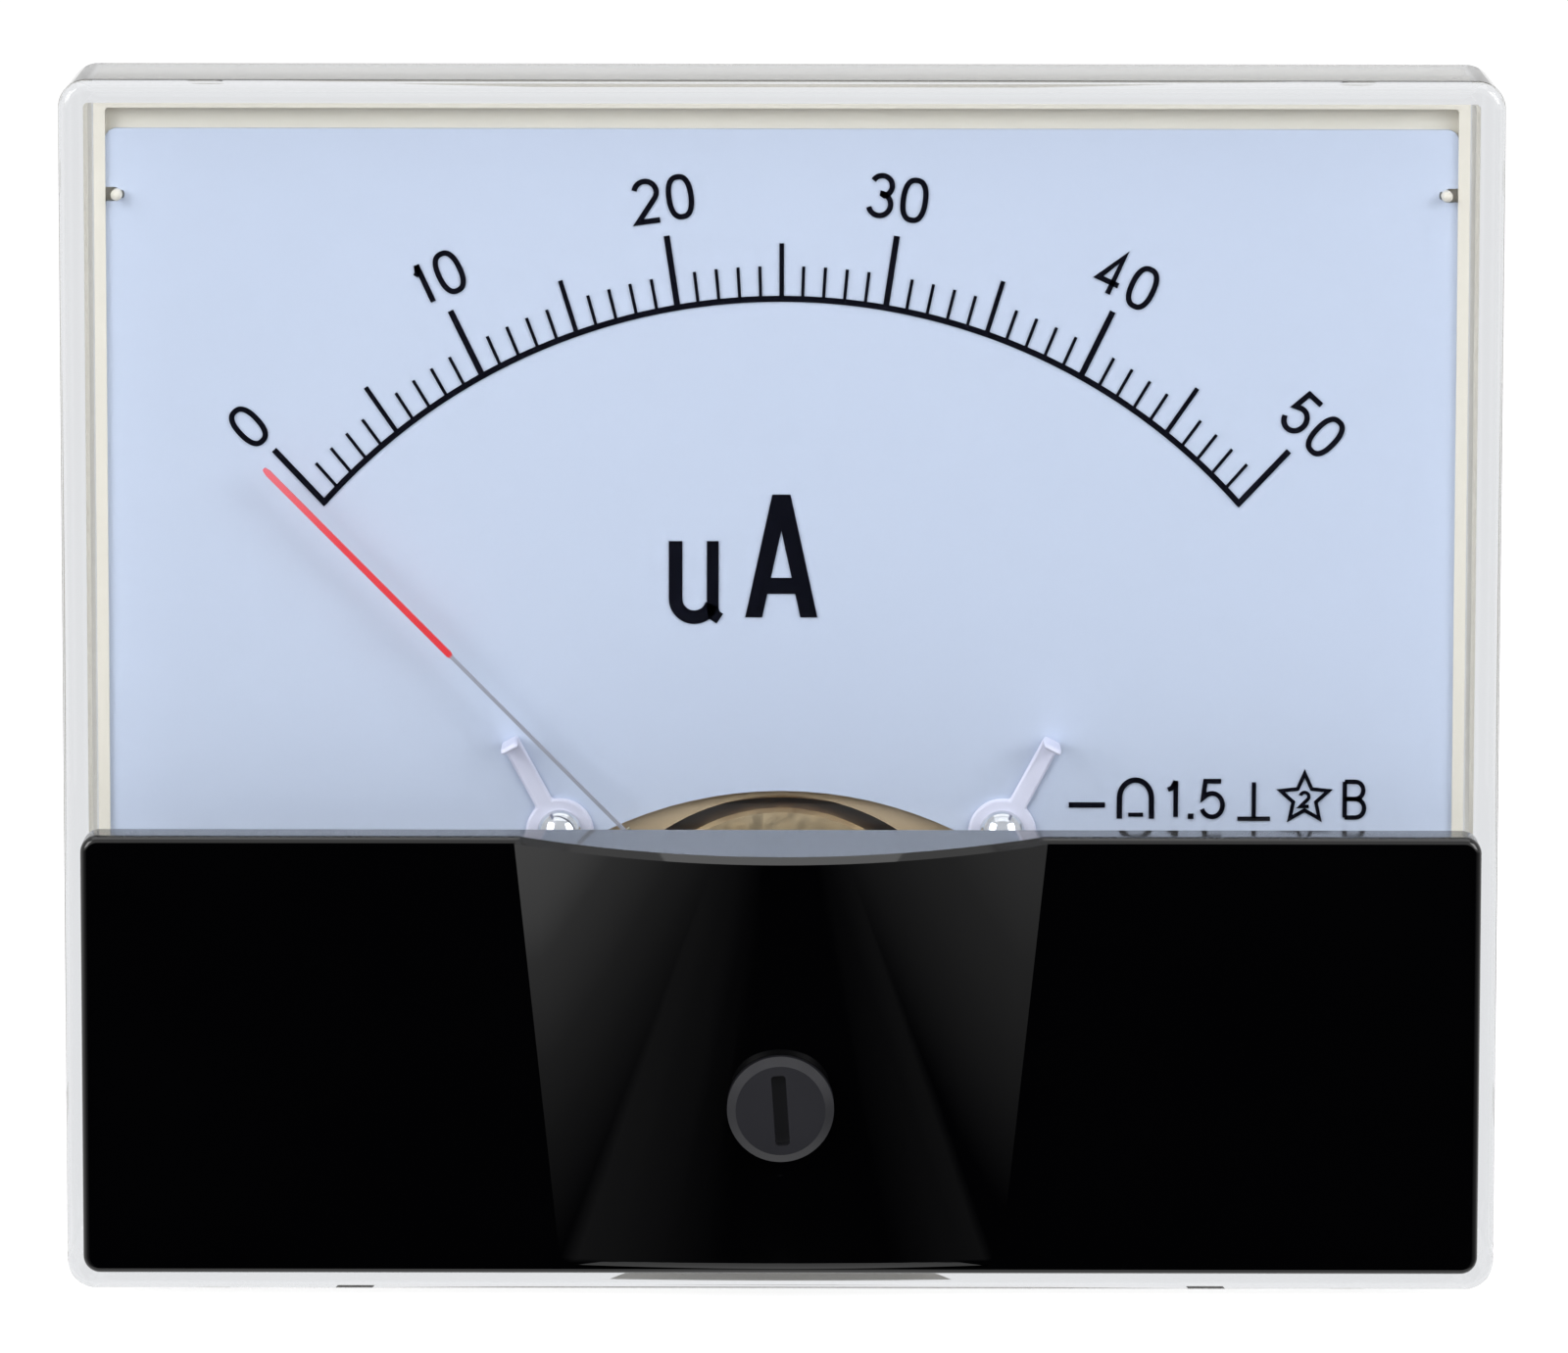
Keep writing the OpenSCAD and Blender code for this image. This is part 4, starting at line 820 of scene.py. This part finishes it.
def turned_mesh(name, profile, places, extra=None):
    """A mesh of one turned profile at each place."""
    work = bmesh.new()
    for x, z in places:
        lathe(work, profile, x, z)
        if extra:
            extra(work, x, z)
    bmesh.ops.recalc_face_normals(work, faces=work.faces)
    mesh = bpy.data.meshes.new(name)
    work.to_mesh(mesh)
    work.free()
    return mesh


def hexagon_head(work, x, z, across_flats, y0, y1):
    """A plain hexagon between two depths."""
    reach = across_flats / 2 / math.cos(math.radians(30))
    rings = [
        [work.verts.new(((x + reach * math.cos(math.radians(60 * k))) * MM, y * MM,
                         (z + reach * math.sin(math.radians(60 * k))) * MM))
         for k in range(6)]
        for y in (y0, y1)
    ]
    for k in range(6):
        n = (k + 1) % 6
        work.faces.new((rings[0][k], rings[0][n], rings[1][n], rings[1][k]))
    work.faces.new(rings[0])
    work.faces.new(rings[1][::-1])


# ---------- sizes and looks a user may change ----------

def length_prop(name, description, default, low=0.0, high=1000.0):
    """A length setting; the given numbers are millimetres."""
    return bpy.props.FloatProperty(
        name=name, description=description, default=default * MM, min=low * MM,
        max=high * MM, precision=5, subtype="DISTANCE", unit="LENGTH")


def paint_prop(name, description, default):
    """A colour setting."""
    return bpy.props.FloatVectorProperty(name=name, description=description, size=4,
                                         subtype="COLOR", default=default, min=0.0, max=1.0)


class MeterSizes(bpy.types.PropertyGroup):
    """Sizes of the print, the threads and the winding."""

    numeral_height: length_prop("Numeral Height", "Height of the scale's numbers", 2.82)
    numeral_width: length_prop("Numeral Width", "Width of one figure", 1.55)
    numeral_stroke: length_prop("Numeral Stroke", "Width of a figure's line", 0.38)
    numeral_gap: length_prop("Numeral Gap", "Gap between two figures", 0.82)
    stud_pitch: length_prop("Stud Pitch", "Thread pitch of the panel studs", 0.5)
    terminal_pitch: length_prop("Terminal Pitch", "Thread pitch of the terminals", 0.7)
    coil_turns: bpy.props.IntProperty(
        name="Coil Turns", description="Turns of wire seen across the coil", default=16,
        min=2, max=60)
    wire_radius: length_prop("Wire Radius", "Radius of the coil's wire", 0.1)


class MeterLooks(bpy.types.PropertyGroup):
    """Main colours of the object."""

    dial: paint_prop("Dial", "Paint of the dial", colour(200, 211, 229))
    dial_shade: paint_prop("Dial Shade", "The dial paint's faint variation",
                           colour(198, 208, 228))
    ink: paint_prop("Ink", "Ink of the scale", colour(9, 10, 18))
    mask: paint_prop("Mask", "Moulded black of the mask", colour(2, 2, 3))
    base: paint_prop("Base", "Moulded ivory of the base", colour(230, 225, 212))
    movement: paint_prop("Movement", "Moulded khaki of the movement's frame",
                         colour(194, 170, 138))


class MeterStudio(bpy.types.PropertyGroup):
    """Camera and lamps."""

    camera_distance: length_prop("Camera Distance", "From the mask plane to the lens",
                                 723.0, 200.0, 3000.0)
    camera_rise: bpy.props.FloatProperty(
        name="Camera Rise", description="Angle of the view above the level",
        default=math.radians(8.2), min=math.radians(-30.0), max=math.radians(80.0),
        subtype="ANGLE", unit="ROTATION")
    camera_roll: bpy.props.FloatProperty(
        name="Camera Roll", description="Turn about the line of sight",
        default=math.radians(0.08), min=math.radians(-10.0), max=math.radians(10.0),
        subtype="ANGLE", unit="ROTATION")
    camera_lens: bpy.props.FloatProperty(
        name="Camera Lens", description="Focal length", default=238.8, min=20.0,
        max=500.0, unit="CAMERA")
    key_power: bpy.props.FloatProperty(
        name="Key Lamp", description="Power of the lamp overhead", default=2.3, min=0.0,
        unit="POWER")
    front_power: bpy.props.FloatProperty(
        name="Front Lamp", description="Power of each front lamp", default=5.7,
        min=0.0, unit="POWER")


def length_mm(settings, name):
    """A length setting, in millimetres."""
    return getattr(settings, name) / MM


def sizes():
    """The object's settings of size."""
    return bpy.context.scene.meter_sizes


def looks():
    """The object's colours."""
    return bpy.context.scene.meter_looks


def studio():
    """The settings of the camera and the lamps."""
    return bpy.context.scene.meter_studio


# ---------- operators, one for each group of pieces ----------

class METER_OT_cover(bpy.types.Operator):
    """Puts the clear cover over the dial"""

    bl_idname = "meter.cover"
    bl_label = "Clear Cover"

    def execute(self, context):
        smooth_copy("front_cover", "clear_cover", FINISH["clear"])
        return {"FINISHED"}


class METER_OT_mask(bpy.types.Operator):
    """Puts on the black mask with its zero adjuster"""

    bl_idname = "meter.mask"
    bl_label = "Mask and Zero Adjuster"

    def execute(self, context):
        smooth_copy("mask", "black_mask", FINISH["black"], 35.0)
        smooth_copy("zero_adjuster", "adjuster_screw", FINISH["dark"])
        smooth_copy("adjuster_washer", "adjuster_clip", FINISH["nickel"])
        return {"FINISHED"}


class METER_OT_case(bpy.types.Operator):
    """Makes the ivory base, its screws and the threaded panel studs"""

    bl_idname = "meter.case"
    bl_label = "Base and Panel Studs"

    def execute(self, context):
        smooth_copy("base", "ivory_base", FINISH["ivory"])
        smooth_copy("cover_screws", "cover_fixings", FINISH["nickel"])
        low, high = box_mm("panel_studs")
        pitch = length_mm(sizes(), "stud_pitch")
        minor = STUD_R - THREAD_DEPTH * pitch
        x = (high.x - low.x) / 2 - STUD_HEAD_R
        z = (high.z - low.z) / 2 - STUD_HEAD_R
        middle = (high.z + low.z) / 2
        places = [(sx * x, middle + sz * z) for sx in (-1, 1) for sz in (-1, 1)]
        profile = [(STUD_HEAD_R, low.y), (STUD_HEAD_R, low.y + STUD_HEAD_T),
                   (STUD_SHOULDER_R, low.y + STUD_HEAD_T), (STUD_SHOULDER_R, 0.0),
                   (minor, 0.0), (minor, high.y - 0.5), (minor - 0.35, high.y)]
        core = turned_mesh("panel_studs_core", profile, places)
        mesh = grown_mesh("threaded_studs", core, TREES["threads"], {
            "Radius": STUD_R * MM, "Pitch": pitch * MM, "Start": 0.3 * MM,
            "Length": (high.y - 1.3) * MM, "Span X": 2 * x * MM, "Span Z": 2 * z * MM,
            "Rows X": 2, "Rows Z": 2, "Centre Z": middle * MM,
            "Material": FINISH["nickel"],
        })
        finish_object("threaded_studs", mesh, FINISH["nickel"], "case",
                      ("panel_studs",), 28.0)
        return {"FINISHED"}


class METER_OT_terminals(bpy.types.Operator):
    """Makes the threaded terminals with their nuts, washers and tags"""

    bl_idname = "meter.terminals"
    bl_label = "Terminals"

    def execute(self, context):
        low, high = box_mm("terminal_studs")
        pitch = length_mm(sizes(), "terminal_pitch")
        minor = TERMINAL_R - THREAD_DEPTH * pitch
        reach = TERMINAL_HEAD_AF / 2 / math.cos(math.radians(30))
        x = (high.x - low.x) / 2 - reach
        z = (high.z + low.z) / 2
        groove = box_mm("terminal_nuts")[1].y
        profile = [(minor, low.y + TERMINAL_HEAD_T - 0.1), (minor, groove),
                   (TERMINAL_R - 0.2, groove),
                   (TERMINAL_R - 0.2, groove + TERMINAL_GROOVE_W),
                   (minor, groove + TERMINAL_GROOVE_W), (minor, high.y - 0.5),
                   (minor - 0.4, high.y)]
        core = turned_mesh(
            "terminal_core", profile, [(-x, z), (x, z)],
            lambda work, px, pz: hexagon_head(work, px, pz, TERMINAL_HEAD_AF, low.y,
                                              low.y + TERMINAL_HEAD_T))
        start = low.y + TERMINAL_HEAD_T + 0.4
        mesh = grown_mesh("threaded_terminals", core, TREES["threads"], {
            "Radius": TERMINAL_R * MM, "Pitch": pitch * MM, "Start": start * MM,
            "Length": (high.y - 1.0 - start) * MM, "Span X": 2 * x * MM,
            "Span Z": 0.0, "Rows X": 2, "Rows Z": 1, "Centre Z": z * MM,
            "Material": FINISH["brass"],
        })
        finish_object("threaded_terminals", mesh, FINISH["brass"], "case",
                      ("terminal_studs",), 28.0)
        smooth_copy("terminal_nuts", "hexagon_nuts", FINISH["brass"],
                    bevel=0.18, segments=2)
        smooth_copy("terminal_washers", "plain_washers", FINISH["brass"],
                    bevel=0.08)
        smooth_copy("terminal_spring_washers", "split_washers", FINISH["nickel"],
                    bevel=0.08)
        smooth_copy("solder_tags", "tinned_tags", FINISH["tinned"])
        return {"FINISHED"}


class METER_OT_dial(bpy.types.Operator):
    """Paints the dial and prints its scale, numbers and marks"""

    bl_idname = "meter.dial"
    bl_label = "Dial and Print"

    def execute(self, context):
        plate = smooth_copy("dial_plate", "painted_dial", FINISH["dial"])
        edge = box_mm("dial_plate")[1].x - DIAL_EDGE_STRIP
        for vertex in plate.data.vertices:
            if abs(vertex.co.x) > edge * MM:
                vertex.co.x += math.copysign(DIAL_REACH * MM, vertex.co.x)
        smooth_copy("scale_marks", "scale_lines", FINISH["ink"])
        ink = FINISH["ink"]
        settings = sizes()
        for name, draw in (
                ("scale_numbers", lambda work: draw_numerals(work, settings)),
                ("unit_mark", draw_unit), ("dial_symbols", draw_symbols)):
            finish_object(name, letter_mesh(name, draw), ink, "case", ())
        for side in ("left", "right"):
            smooth_copy(side + "_pointer_stop", side + "_stop_strip", FINISH["white"],
                        bevel=0.22, segments=3)
        smooth_copy("dial_screws", "domed_screws", FINISH["chrome"], 35.0)
        return {"FINISHED"}


class METER_OT_movement(bpy.types.Operator):
    """Finishes the fixed pieces of the movement"""

    bl_idname = "meter.movement"
    bl_label = "Movement"

    def execute(self, context):
        for node, name, finish, slot in (
                ("movement_frame", "moulded_frame", "khaki", "khaki_plastic"),
                ("yoke_ring", "plated_yoke", "yellow", "yellow_iron"),
                ("yoke_pins", "yoke_rivets", "nickel", "nickel_steel"),
                ("magnet_core", "magnet_cylinder", "magnet", "magnet_alloy"),
                ("core_spacers", "brass_spacers", "brass", "brass"),
                ("front_bridge", "front_bridge_bar", "aluminium", "aluminium"),
                ("bridge_posts", "bridge_pillars", "brass", "brass"),
                ("bridge_screws", "bridge_fixings", "nickel", "nickel_steel"),
                ("front_jewel_screw", "front_bearing_screw", "brass", "brass"),
                ("front_jewel", "front_bearing_jewel", "ruby", "ruby"),
                ("jewel_locknut", "bearing_locknut", "brass", "brass"),
                ("rear_bridge", "rear_bridge_bar", "aluminium", "aluminium"),
                ("rear_bridge_screws", "rear_fixings", "nickel", "nickel_steel"),
                ("rear_jewel_screw", "rear_bearing_screw", "brass", "brass"),
                ("rear_jewel", "rear_bearing_jewel", "ruby", "ruby"),
                ("rear_hairspring", "rear_spiral", "bronze", "bronze"),
                ("movement_screws", "movement_fixings", "nickel", "nickel_steel"),
                ("zero_lever", "zero_arm", "brass", "brass"),
                ("front_hairspring", "front_spiral", "bronze", "bronze")):
            smooth_copy(node, name, FINISH[finish])
        return {"FINISHED"}


def winding_core(low, high, turn):
    """A plain rectangular ring that fills the winding behind its turns of wire."""
    work = bmesh.new()
    shells = []
    for grow in (0.3, 0.75):
        hx = COIL_IN + grow
        y0, y1 = low.y + WINDING_T - grow, high.y - WINDING_T + grow
        shells.append([(-hx, y0), (hx, y0), (hx, y1), (-hx, y1)])
    rings = []
    for outline, z in ((shells[0], -1.5), (shells[1], -1.5), (shells[1], 1.5),
                       (shells[0], 1.5)):
        rings.append([
            work.verts.new(Vector((
                x * math.cos(turn) + z * math.sin(turn),
                y, PIVOT_Z - x * math.sin(turn) + z * math.cos(turn))) * MM)
            for x, y in outline])
    for k in range(4):
        a, b = rings[k], rings[(k + 1) % 4]
        for j in range(4):
            n = (j + 1) % 4
            work.faces.new((a[j], a[n], b[n], b[j]))
    bmesh.ops.recalc_face_normals(work, faces=work.faces)
    core = bpy.data.meshes.new("winding_core")
    work.to_mesh(core)
    work.free()
    return core


class METER_OT_coil(bpy.types.Operator):
    """Makes the moving coil, its pivots and the pointer"""

    bl_idname = "meter.coil"
    bl_label = "Moving Coil and Pointer"

    def execute(self, context):
        for node, name, finish, slot in (
                ("coil_former", "sheet_former", "aluminium", "aluminium"),
                ("front_pivot", "front_staff", "brass", "brass"),
                ("rear_pivot", "rear_staff", "brass", "brass"),
                ("balance_cross", "balance_arms", "brass", "brass"),
                ("balance_weights", "balance_nuts", "nickel", "nickel_steel"),
                ("pointer_socket", "pointer_foot", "pale_brass", "pale_brass"),
                ("pointer", "pointer_needle", "pointer", "pointer_paint")):
            smooth_copy(node, name, FINISH[finish])
        low, high = box_mm("coil_winding")
        radius = length_mm(sizes(), "wire_radius")
        middle = (low.y + high.y) / 2
        turn = -math.radians(REST_ANGLE)
        core = winding_core(low, high, turn)
        mesh = grown_mesh("wire_turns", core, TREES["winding"], {
            "Half Width": (COIL_IN + WINDING_T - radius) * MM,
            "Depth": (high.y - low.y - 2 * radius) * MM,
            "Centre Y": middle * MM, "Centre Z": PIVOT_Z * MM,
            "Turns": sizes().coil_turns, "Spread": WINDING_SPREAD * MM,
            "Wire Radius": radius * MM, "Corner": 0.35 * MM, "Turn": turn,
            "Material": FINISH["copper"],
        })
        finish_object("wire_turns", mesh, FINISH["copper"], "moving_coil",
                      ("coil_winding",), 50.0)
        return {"FINISHED"}


class METER_OT_stage(bpy.types.Operator):
    """Lays the pale floor and sets the lamps, the world and the camera"""

    bl_idname = "meter.stage"
    bl_label = "Stage"

    def execute(self, context):
        lay_floor()
        hang_screen("dark_screen", 94.0, -1.6, -0.02, "glossy")
        hang_screen("window_screen", 9.0, -0.42, -0.05, "transmission")
        hang_screen("back_screen", 14.0, 0.03, 0.6, "glossy", 180.0, 0.28)
        hang_lamps()
        make_world()
        set_camera()
        return {"FINISHED"}


# The stage's own sizes, in metres: it stands far off
FLOOR_HALF = 3.0
FLOOR_DROP = 0.00002
SCREEN_RADIUS = 1.5

# Flat strips that a curved screen is made of
SCREEN_STRIPS = 60

# Shares of the way across a screen, each with how dense the screen is there
SCREEN_TONES = ((0.0, 0.0), (0.017, 0.1), (0.043, 0.45), (0.14, 0.74), (0.24, 0.86),
                (0.345, 0.94), (0.42, 1.0), (0.65, 1.0), (0.757, 0.9), (0.86, 0.79),
                (0.957, 0.66), (1.0, 0.5))


def lay_floor():
    """A plain pale floor that keeps the soft shadow and shows white."""
    made = bpy.data.materials.new("pale_floor")
    made.use_nodes = True
    tree = made.node_tree
    tree.nodes.clear()
    out = add_node(tree, "ShaderNodeOutputMaterial", (600, 0))
    matt = add_node(tree, "ShaderNodeBsdfDiffuse", (0, 100))
    matt.inputs["Color"].default_value = (0.5, 0.5, 0.5, 1.0)
    glow = add_node(tree, "ShaderNodeEmission", (0, -100))
    glow.inputs["Color"].default_value = (1.0, 1.0, 1.0, 1.0)
    path = add_node(tree, "ShaderNodeLightPath", (-600, -100))
    level = maths(tree, "MULTIPLY", path.outputs["Is Camera Ray"], 0.85, at=(-150, -150))
    link(tree, level, glow.inputs["Strength"])
    both = add_node(tree, "ShaderNodeAddShader", (300, 0))
    link(tree, matt.outputs["BSDF"], both.inputs[0])
    link(tree, glow.outputs["Emission"], both.inputs[1])
    link(tree, both.outputs["Shader"], out.inputs["Surface"])
    mesh = bpy.data.meshes.new("floor")
    half, z = FLOOR_HALF, FLOOR_Z * MM - FLOOR_DROP
    mesh.from_pydata([(-half, -half, z), (half, -half, z), (half, half, z),
                      (-half, half, z)], [], [(0, 1, 2, 3)])
    floor = bpy.data.objects.new("floor", mesh)
    bpy.context.scene.collection.objects.link(floor)
    mesh.materials.append(made)
    floor.visible_glossy = False
    floor.visible_transmission = False


def screen_material(name, tone):
    """Dark and matt, and thinner toward the screen's ends."""
    made, tree, shader, place = new_material(name)
    shader.inputs["Base Color"].default_value = (0.0, 0.0, 0.0, 1.0)
    shader.inputs["Roughness"].default_value = 1.0
    shader.inputs["Specular IOR Level"].default_value = 0.0
    split = add_node(tree, "ShaderNodeSeparateXYZ", (-800, 0))
    link(tree, place.outputs["Object"], split.inputs["Vector"])
    across = ranged(tree, split.outputs["X"], 0.0, 1.0, (-600, 0), -SCREEN_RADIUS,
                    SCREEN_RADIUS)
    ramp = add_node(tree, "ShaderNodeValToRGB", (-400, 0))
    link(tree, across, ramp.inputs["Fac"])
    marks = ramp.color_ramp.elements
    for number, (position, shade) in enumerate(SCREEN_TONES):
        if number < 2:
            mark = marks[number]
            mark.position = position
        else:
            mark = marks.new(position)
        mark.color = (shade, shade, shade, 1.0)
    level = maths(tree, "MULTIPLY", ramp.outputs["Color"], tone, at=(-200, 0))
    link(tree, level, shader.inputs["Alpha"])
    return made


def hang_screen(name, half_turn, low, top, seen_by, middle=0.0, tone=1.0):
    """A far curved dark screen, seen only by one kind of ray, paler at its far ends."""
    made = screen_material(name, tone)
    points, faces = [], []
    for step in range(SCREEN_STRIPS + 1):
        turn = math.radians(middle + half_turn * (2.0 * step / SCREEN_STRIPS - 1.0))
        x, y = SCREEN_RADIUS * math.sin(turn), -SCREEN_RADIUS * math.cos(turn)
        points += [(x, y, low), (x, y, top)]
        if step:
            faces.append((2 * step - 2, 2 * step, 2 * step + 1, 2 * step - 1))
    mesh = bpy.data.meshes.new(name)
    mesh.from_pydata(points, [], faces)
    screen = bpy.data.objects.new(name, mesh)
    bpy.context.scene.collection.objects.link(screen)
    mesh.materials.append(made)
    for ray in ("camera", "diffuse", "glossy", "transmission", "volume_scatter", "shadow"):
        setattr(screen, "visible_" + ray, ray == seen_by)


def hang_lamp(name, place, aim, size, power, height=None):
    """A soft rectangular lamp turned toward a point."""
    data = bpy.data.lights.new(name, "AREA")
    data.shape = "RECTANGLE"
    data.size = size
    data.size_y = height or size
    data.energy = power
    lamp = bpy.data.objects.new(name, data)
    bpy.context.scene.collection.objects.link(lamp)
    lamp.location = place
    lamp.rotation_euler = (Vector(aim) - Vector(place)).to_track_quat("-Z", "Y").to_euler()


def hang_lamps():
    """One broad lamp overhead and two in front, all turned to the middle."""
    settings = studio()
    aim = (0.0, 0.0, 0.0)
    hang_lamp("overhead", (0.0, -0.2, 0.8), aim, 0.9, settings.key_power, 0.7)
    hang_lamp("front_left", (-0.75, -0.75, 0.45), aim, 0.6, settings.front_power, 0.6)
    hang_lamp("front_right", (0.75, -0.75, 0.45), aim, 0.6, settings.front_power, 0.6)


def make_world():
    """A soft even room that the camera sees as white."""
    world = bpy.data.worlds.new("soft_room")
    bpy.context.scene.world = world
    world.use_nodes = True
    tree = world.node_tree
    tree.nodes.clear()
    out = add_node(tree, "ShaderNodeOutputWorld", (400, 0))
    room = add_node(tree, "ShaderNodeBackground", (0, -100))
    room.inputs["Color"].default_value = (0.95, 0.97, 1.0, 1.0)
    room.inputs["Strength"].default_value = 0.3
    white = add_node(tree, "ShaderNodeBackground", (0, 100))
    white.inputs["Color"].default_value = (1.0, 1.0, 1.0, 1.0)
    path = add_node(tree, "ShaderNodeLightPath", (-600, 100))
    through = maths(tree, "MAXIMUM", path.outputs["Is Camera Ray"],
                    path.outputs["Is Transmission Ray"], at=(-450, 100))
    seen = maths(tree, "MAXIMUM", through, path.outputs["Is Glossy Ray"], at=(-300, 100))
    mix = add_node(tree, "ShaderNodeMixShader", (200, 0))
    link(tree, seen, mix.inputs["Fac"])
    link(tree, room.outputs["Background"], mix.inputs[1])
    link(tree, white.outputs["Background"], mix.inputs[2])
    link(tree, mix.outputs["Shader"], out.inputs["Surface"])


def set_camera():
    """The front view, a little from above."""
    settings = studio()
    rise, roll = settings.camera_rise, settings.camera_roll
    aim = Vector((0.2, COVER_LOW.y, 1.0)) * MM
    away = Vector((0.0, -math.cos(rise), math.sin(rise)))
    right = Vector((1.0, 0.0, 0.0))
    up = Vector((0.0, math.sin(rise), math.cos(rise)))
    turned_right = right * math.cos(roll) + up * math.sin(roll)
    turned_up = up * math.cos(roll) - right * math.sin(roll)
    data = bpy.data.cameras.new("front_view")
    data.sensor_width = 36.0
    data.lens = settings.camera_lens
    data.clip_start = 0.01
    data.clip_end = 50.0
    camera = bpy.data.objects.new("front_view", data)
    bpy.context.scene.collection.objects.link(camera)
    matrix = Matrix((turned_right, turned_up, away)).transposed().to_4x4()
    matrix.translation = aim + away * settings.camera_distance
    camera.matrix_world = matrix
    bpy.context.scene.camera = camera


class METER_PT_panel(bpy.types.Panel):
    """Buttons and settings of the panel meter"""

    bl_idname = "METER_PT_panel"
    bl_label = "Panel Meter"
    bl_space_type = "VIEW_3D"
    bl_region_type = "UI"
    bl_category = "Panel Meter"

    def draw(self, context):
        for operator in STEPS:
            self.layout.operator(operator.bl_idname)
        for group in (context.scene.meter_sizes, context.scene.meter_looks,
                      context.scene.meter_studio):
            box = self.layout.box()
            for name in group.bl_rna.properties.keys():
                if name not in ("rna_type", "name"):
                    box.prop(group, name)


# Materials and node trees, each built once and found by name
FINISH = {}
TREES = {}

STEPS = (METER_OT_case, METER_OT_terminals, METER_OT_movement, METER_OT_coil,
         METER_OT_dial, METER_OT_cover, METER_OT_mask, METER_OT_stage)
CLASSES = (MeterSizes, MeterLooks, MeterStudio) + STEPS + (METER_PT_panel,)


def make_finishes():
    """Builds every material once."""
    paint = looks()
    FINISH.update(
        clear=clear_material(),
        black=skinned_material("gloss_black", tuple(paint.mask), colour(3, 3, 4),
                               (0.05, 0.1), 0.002, specular=0.5),
        dark=skinned_material("dark_moulding", colour(28, 28, 33), colour(34, 34, 39),
                              (0.32, 0.45), 0.006, grain=2500.0, specular=0.4),
        ivory=skinned_material("ivory_moulding", tuple(paint.base), colour(226, 220, 205),
                               (0.3, 0.42), 0.006, grain=1500.0),
        khaki=skinned_material("khaki_moulding", tuple(paint.movement),
                               colour(182, 162, 128), (0.4, 0.55), 0.01, grain=1800.0),
        dial=skinned_material("dial_paint", tuple(paint.dial), tuple(paint.dial_shade),
                              (0.42, 0.5), 0.0015, grain=2500.0, wave=20.0),
        ink=skinned_material("printed_ink", tuple(paint.ink), colour(13, 14, 24),
                             (0.45, 0.55), 0.001, grain=4000.0, wave=900.0, specular=0.04),
        white=skinned_material("white_paint", colour(230, 231, 246), colour(222, 223, 242),
                               (0.4, 0.5), 0.003, grain=3000.0, wave=400.0),
        nickel=metal_material("nickel_plate", colour(214, 212, 206), colour(188, 184, 174),
                              (0.2, 0.34)),
        chrome=metal_material("polished_chrome", colour(226, 228, 230),
                              colour(204, 206, 208), (0.08, 0.16)),
        brass=metal_material("bare_brass", colour(222, 190, 118), colour(184, 146, 82),
                             (0.22, 0.36)),
        pale_brass=metal_material("pale_brass", colour(232, 222, 178),
                                  colour(210, 194, 140), (0.25, 0.38)),
        tinned=metal_material("tinned_brass", colour(206, 204, 198),
                              colour(180, 172, 156), (0.28, 0.42)),
        aluminium=metal_material("rolled_aluminium", colour(214, 215, 216),
                                 colour(192, 193, 194), (0.3, 0.42)),
        magnet=metal_material("cast_magnet", colour(140, 138, 136), colour(112, 110, 108),
                              (0.4, 0.55), streak=600.0),
        yellow=metal_material("yellow_zinc", colour(248, 224, 180), colour(234, 204, 156),
                              (0.38, 0.5)),
        bronze=metal_material("spring_bronze", colour(206, 152, 98),
                              colour(176, 124, 76), (0.24, 0.36)),
        copper=metal_material("enamelled_copper", colour(176, 92, 50), colour(146, 70, 38),
                              (0.26, 0.38)),
        ruby=skinned_material("ruby", colour(160, 18, 44), colour(140, 12, 36),
                              (0.05, 0.1), 0.0005, coat=0.6),
        pointer=pointer_material(),
    )


def register():
    """Registers the settings, the operators and the panel."""
    for made in CLASSES:
        bpy.utils.register_class(made)
    bpy.types.Scene.meter_sizes = bpy.props.PointerProperty(type=MeterSizes)
    bpy.types.Scene.meter_looks = bpy.props.PointerProperty(type=MeterLooks)
    bpy.types.Scene.meter_studio = bpy.props.PointerProperty(type=MeterStudio)


def unregister():
    """Takes them out again."""
    del bpy.types.Scene.meter_studio
    del bpy.types.Scene.meter_looks
    del bpy.types.Scene.meter_sizes
    for made in reversed(CLASSES):
        bpy.utils.unregister_class(made)


def main():
    """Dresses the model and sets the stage."""
    register()
    bpy.context.scene.view_settings.view_transform = "Standard"
    TREES.update(skin=moulded_skin_group(), metal=handled_metal_group())
    make_finishes()
    TREES.update(threads=thread_tree(), winding=winding_tree())
    for step in STEPS:
        group, name = step.bl_idname.split(".")
        getattr(getattr(bpy.ops, group), name)()


if __name__ == "__main__":
    main()
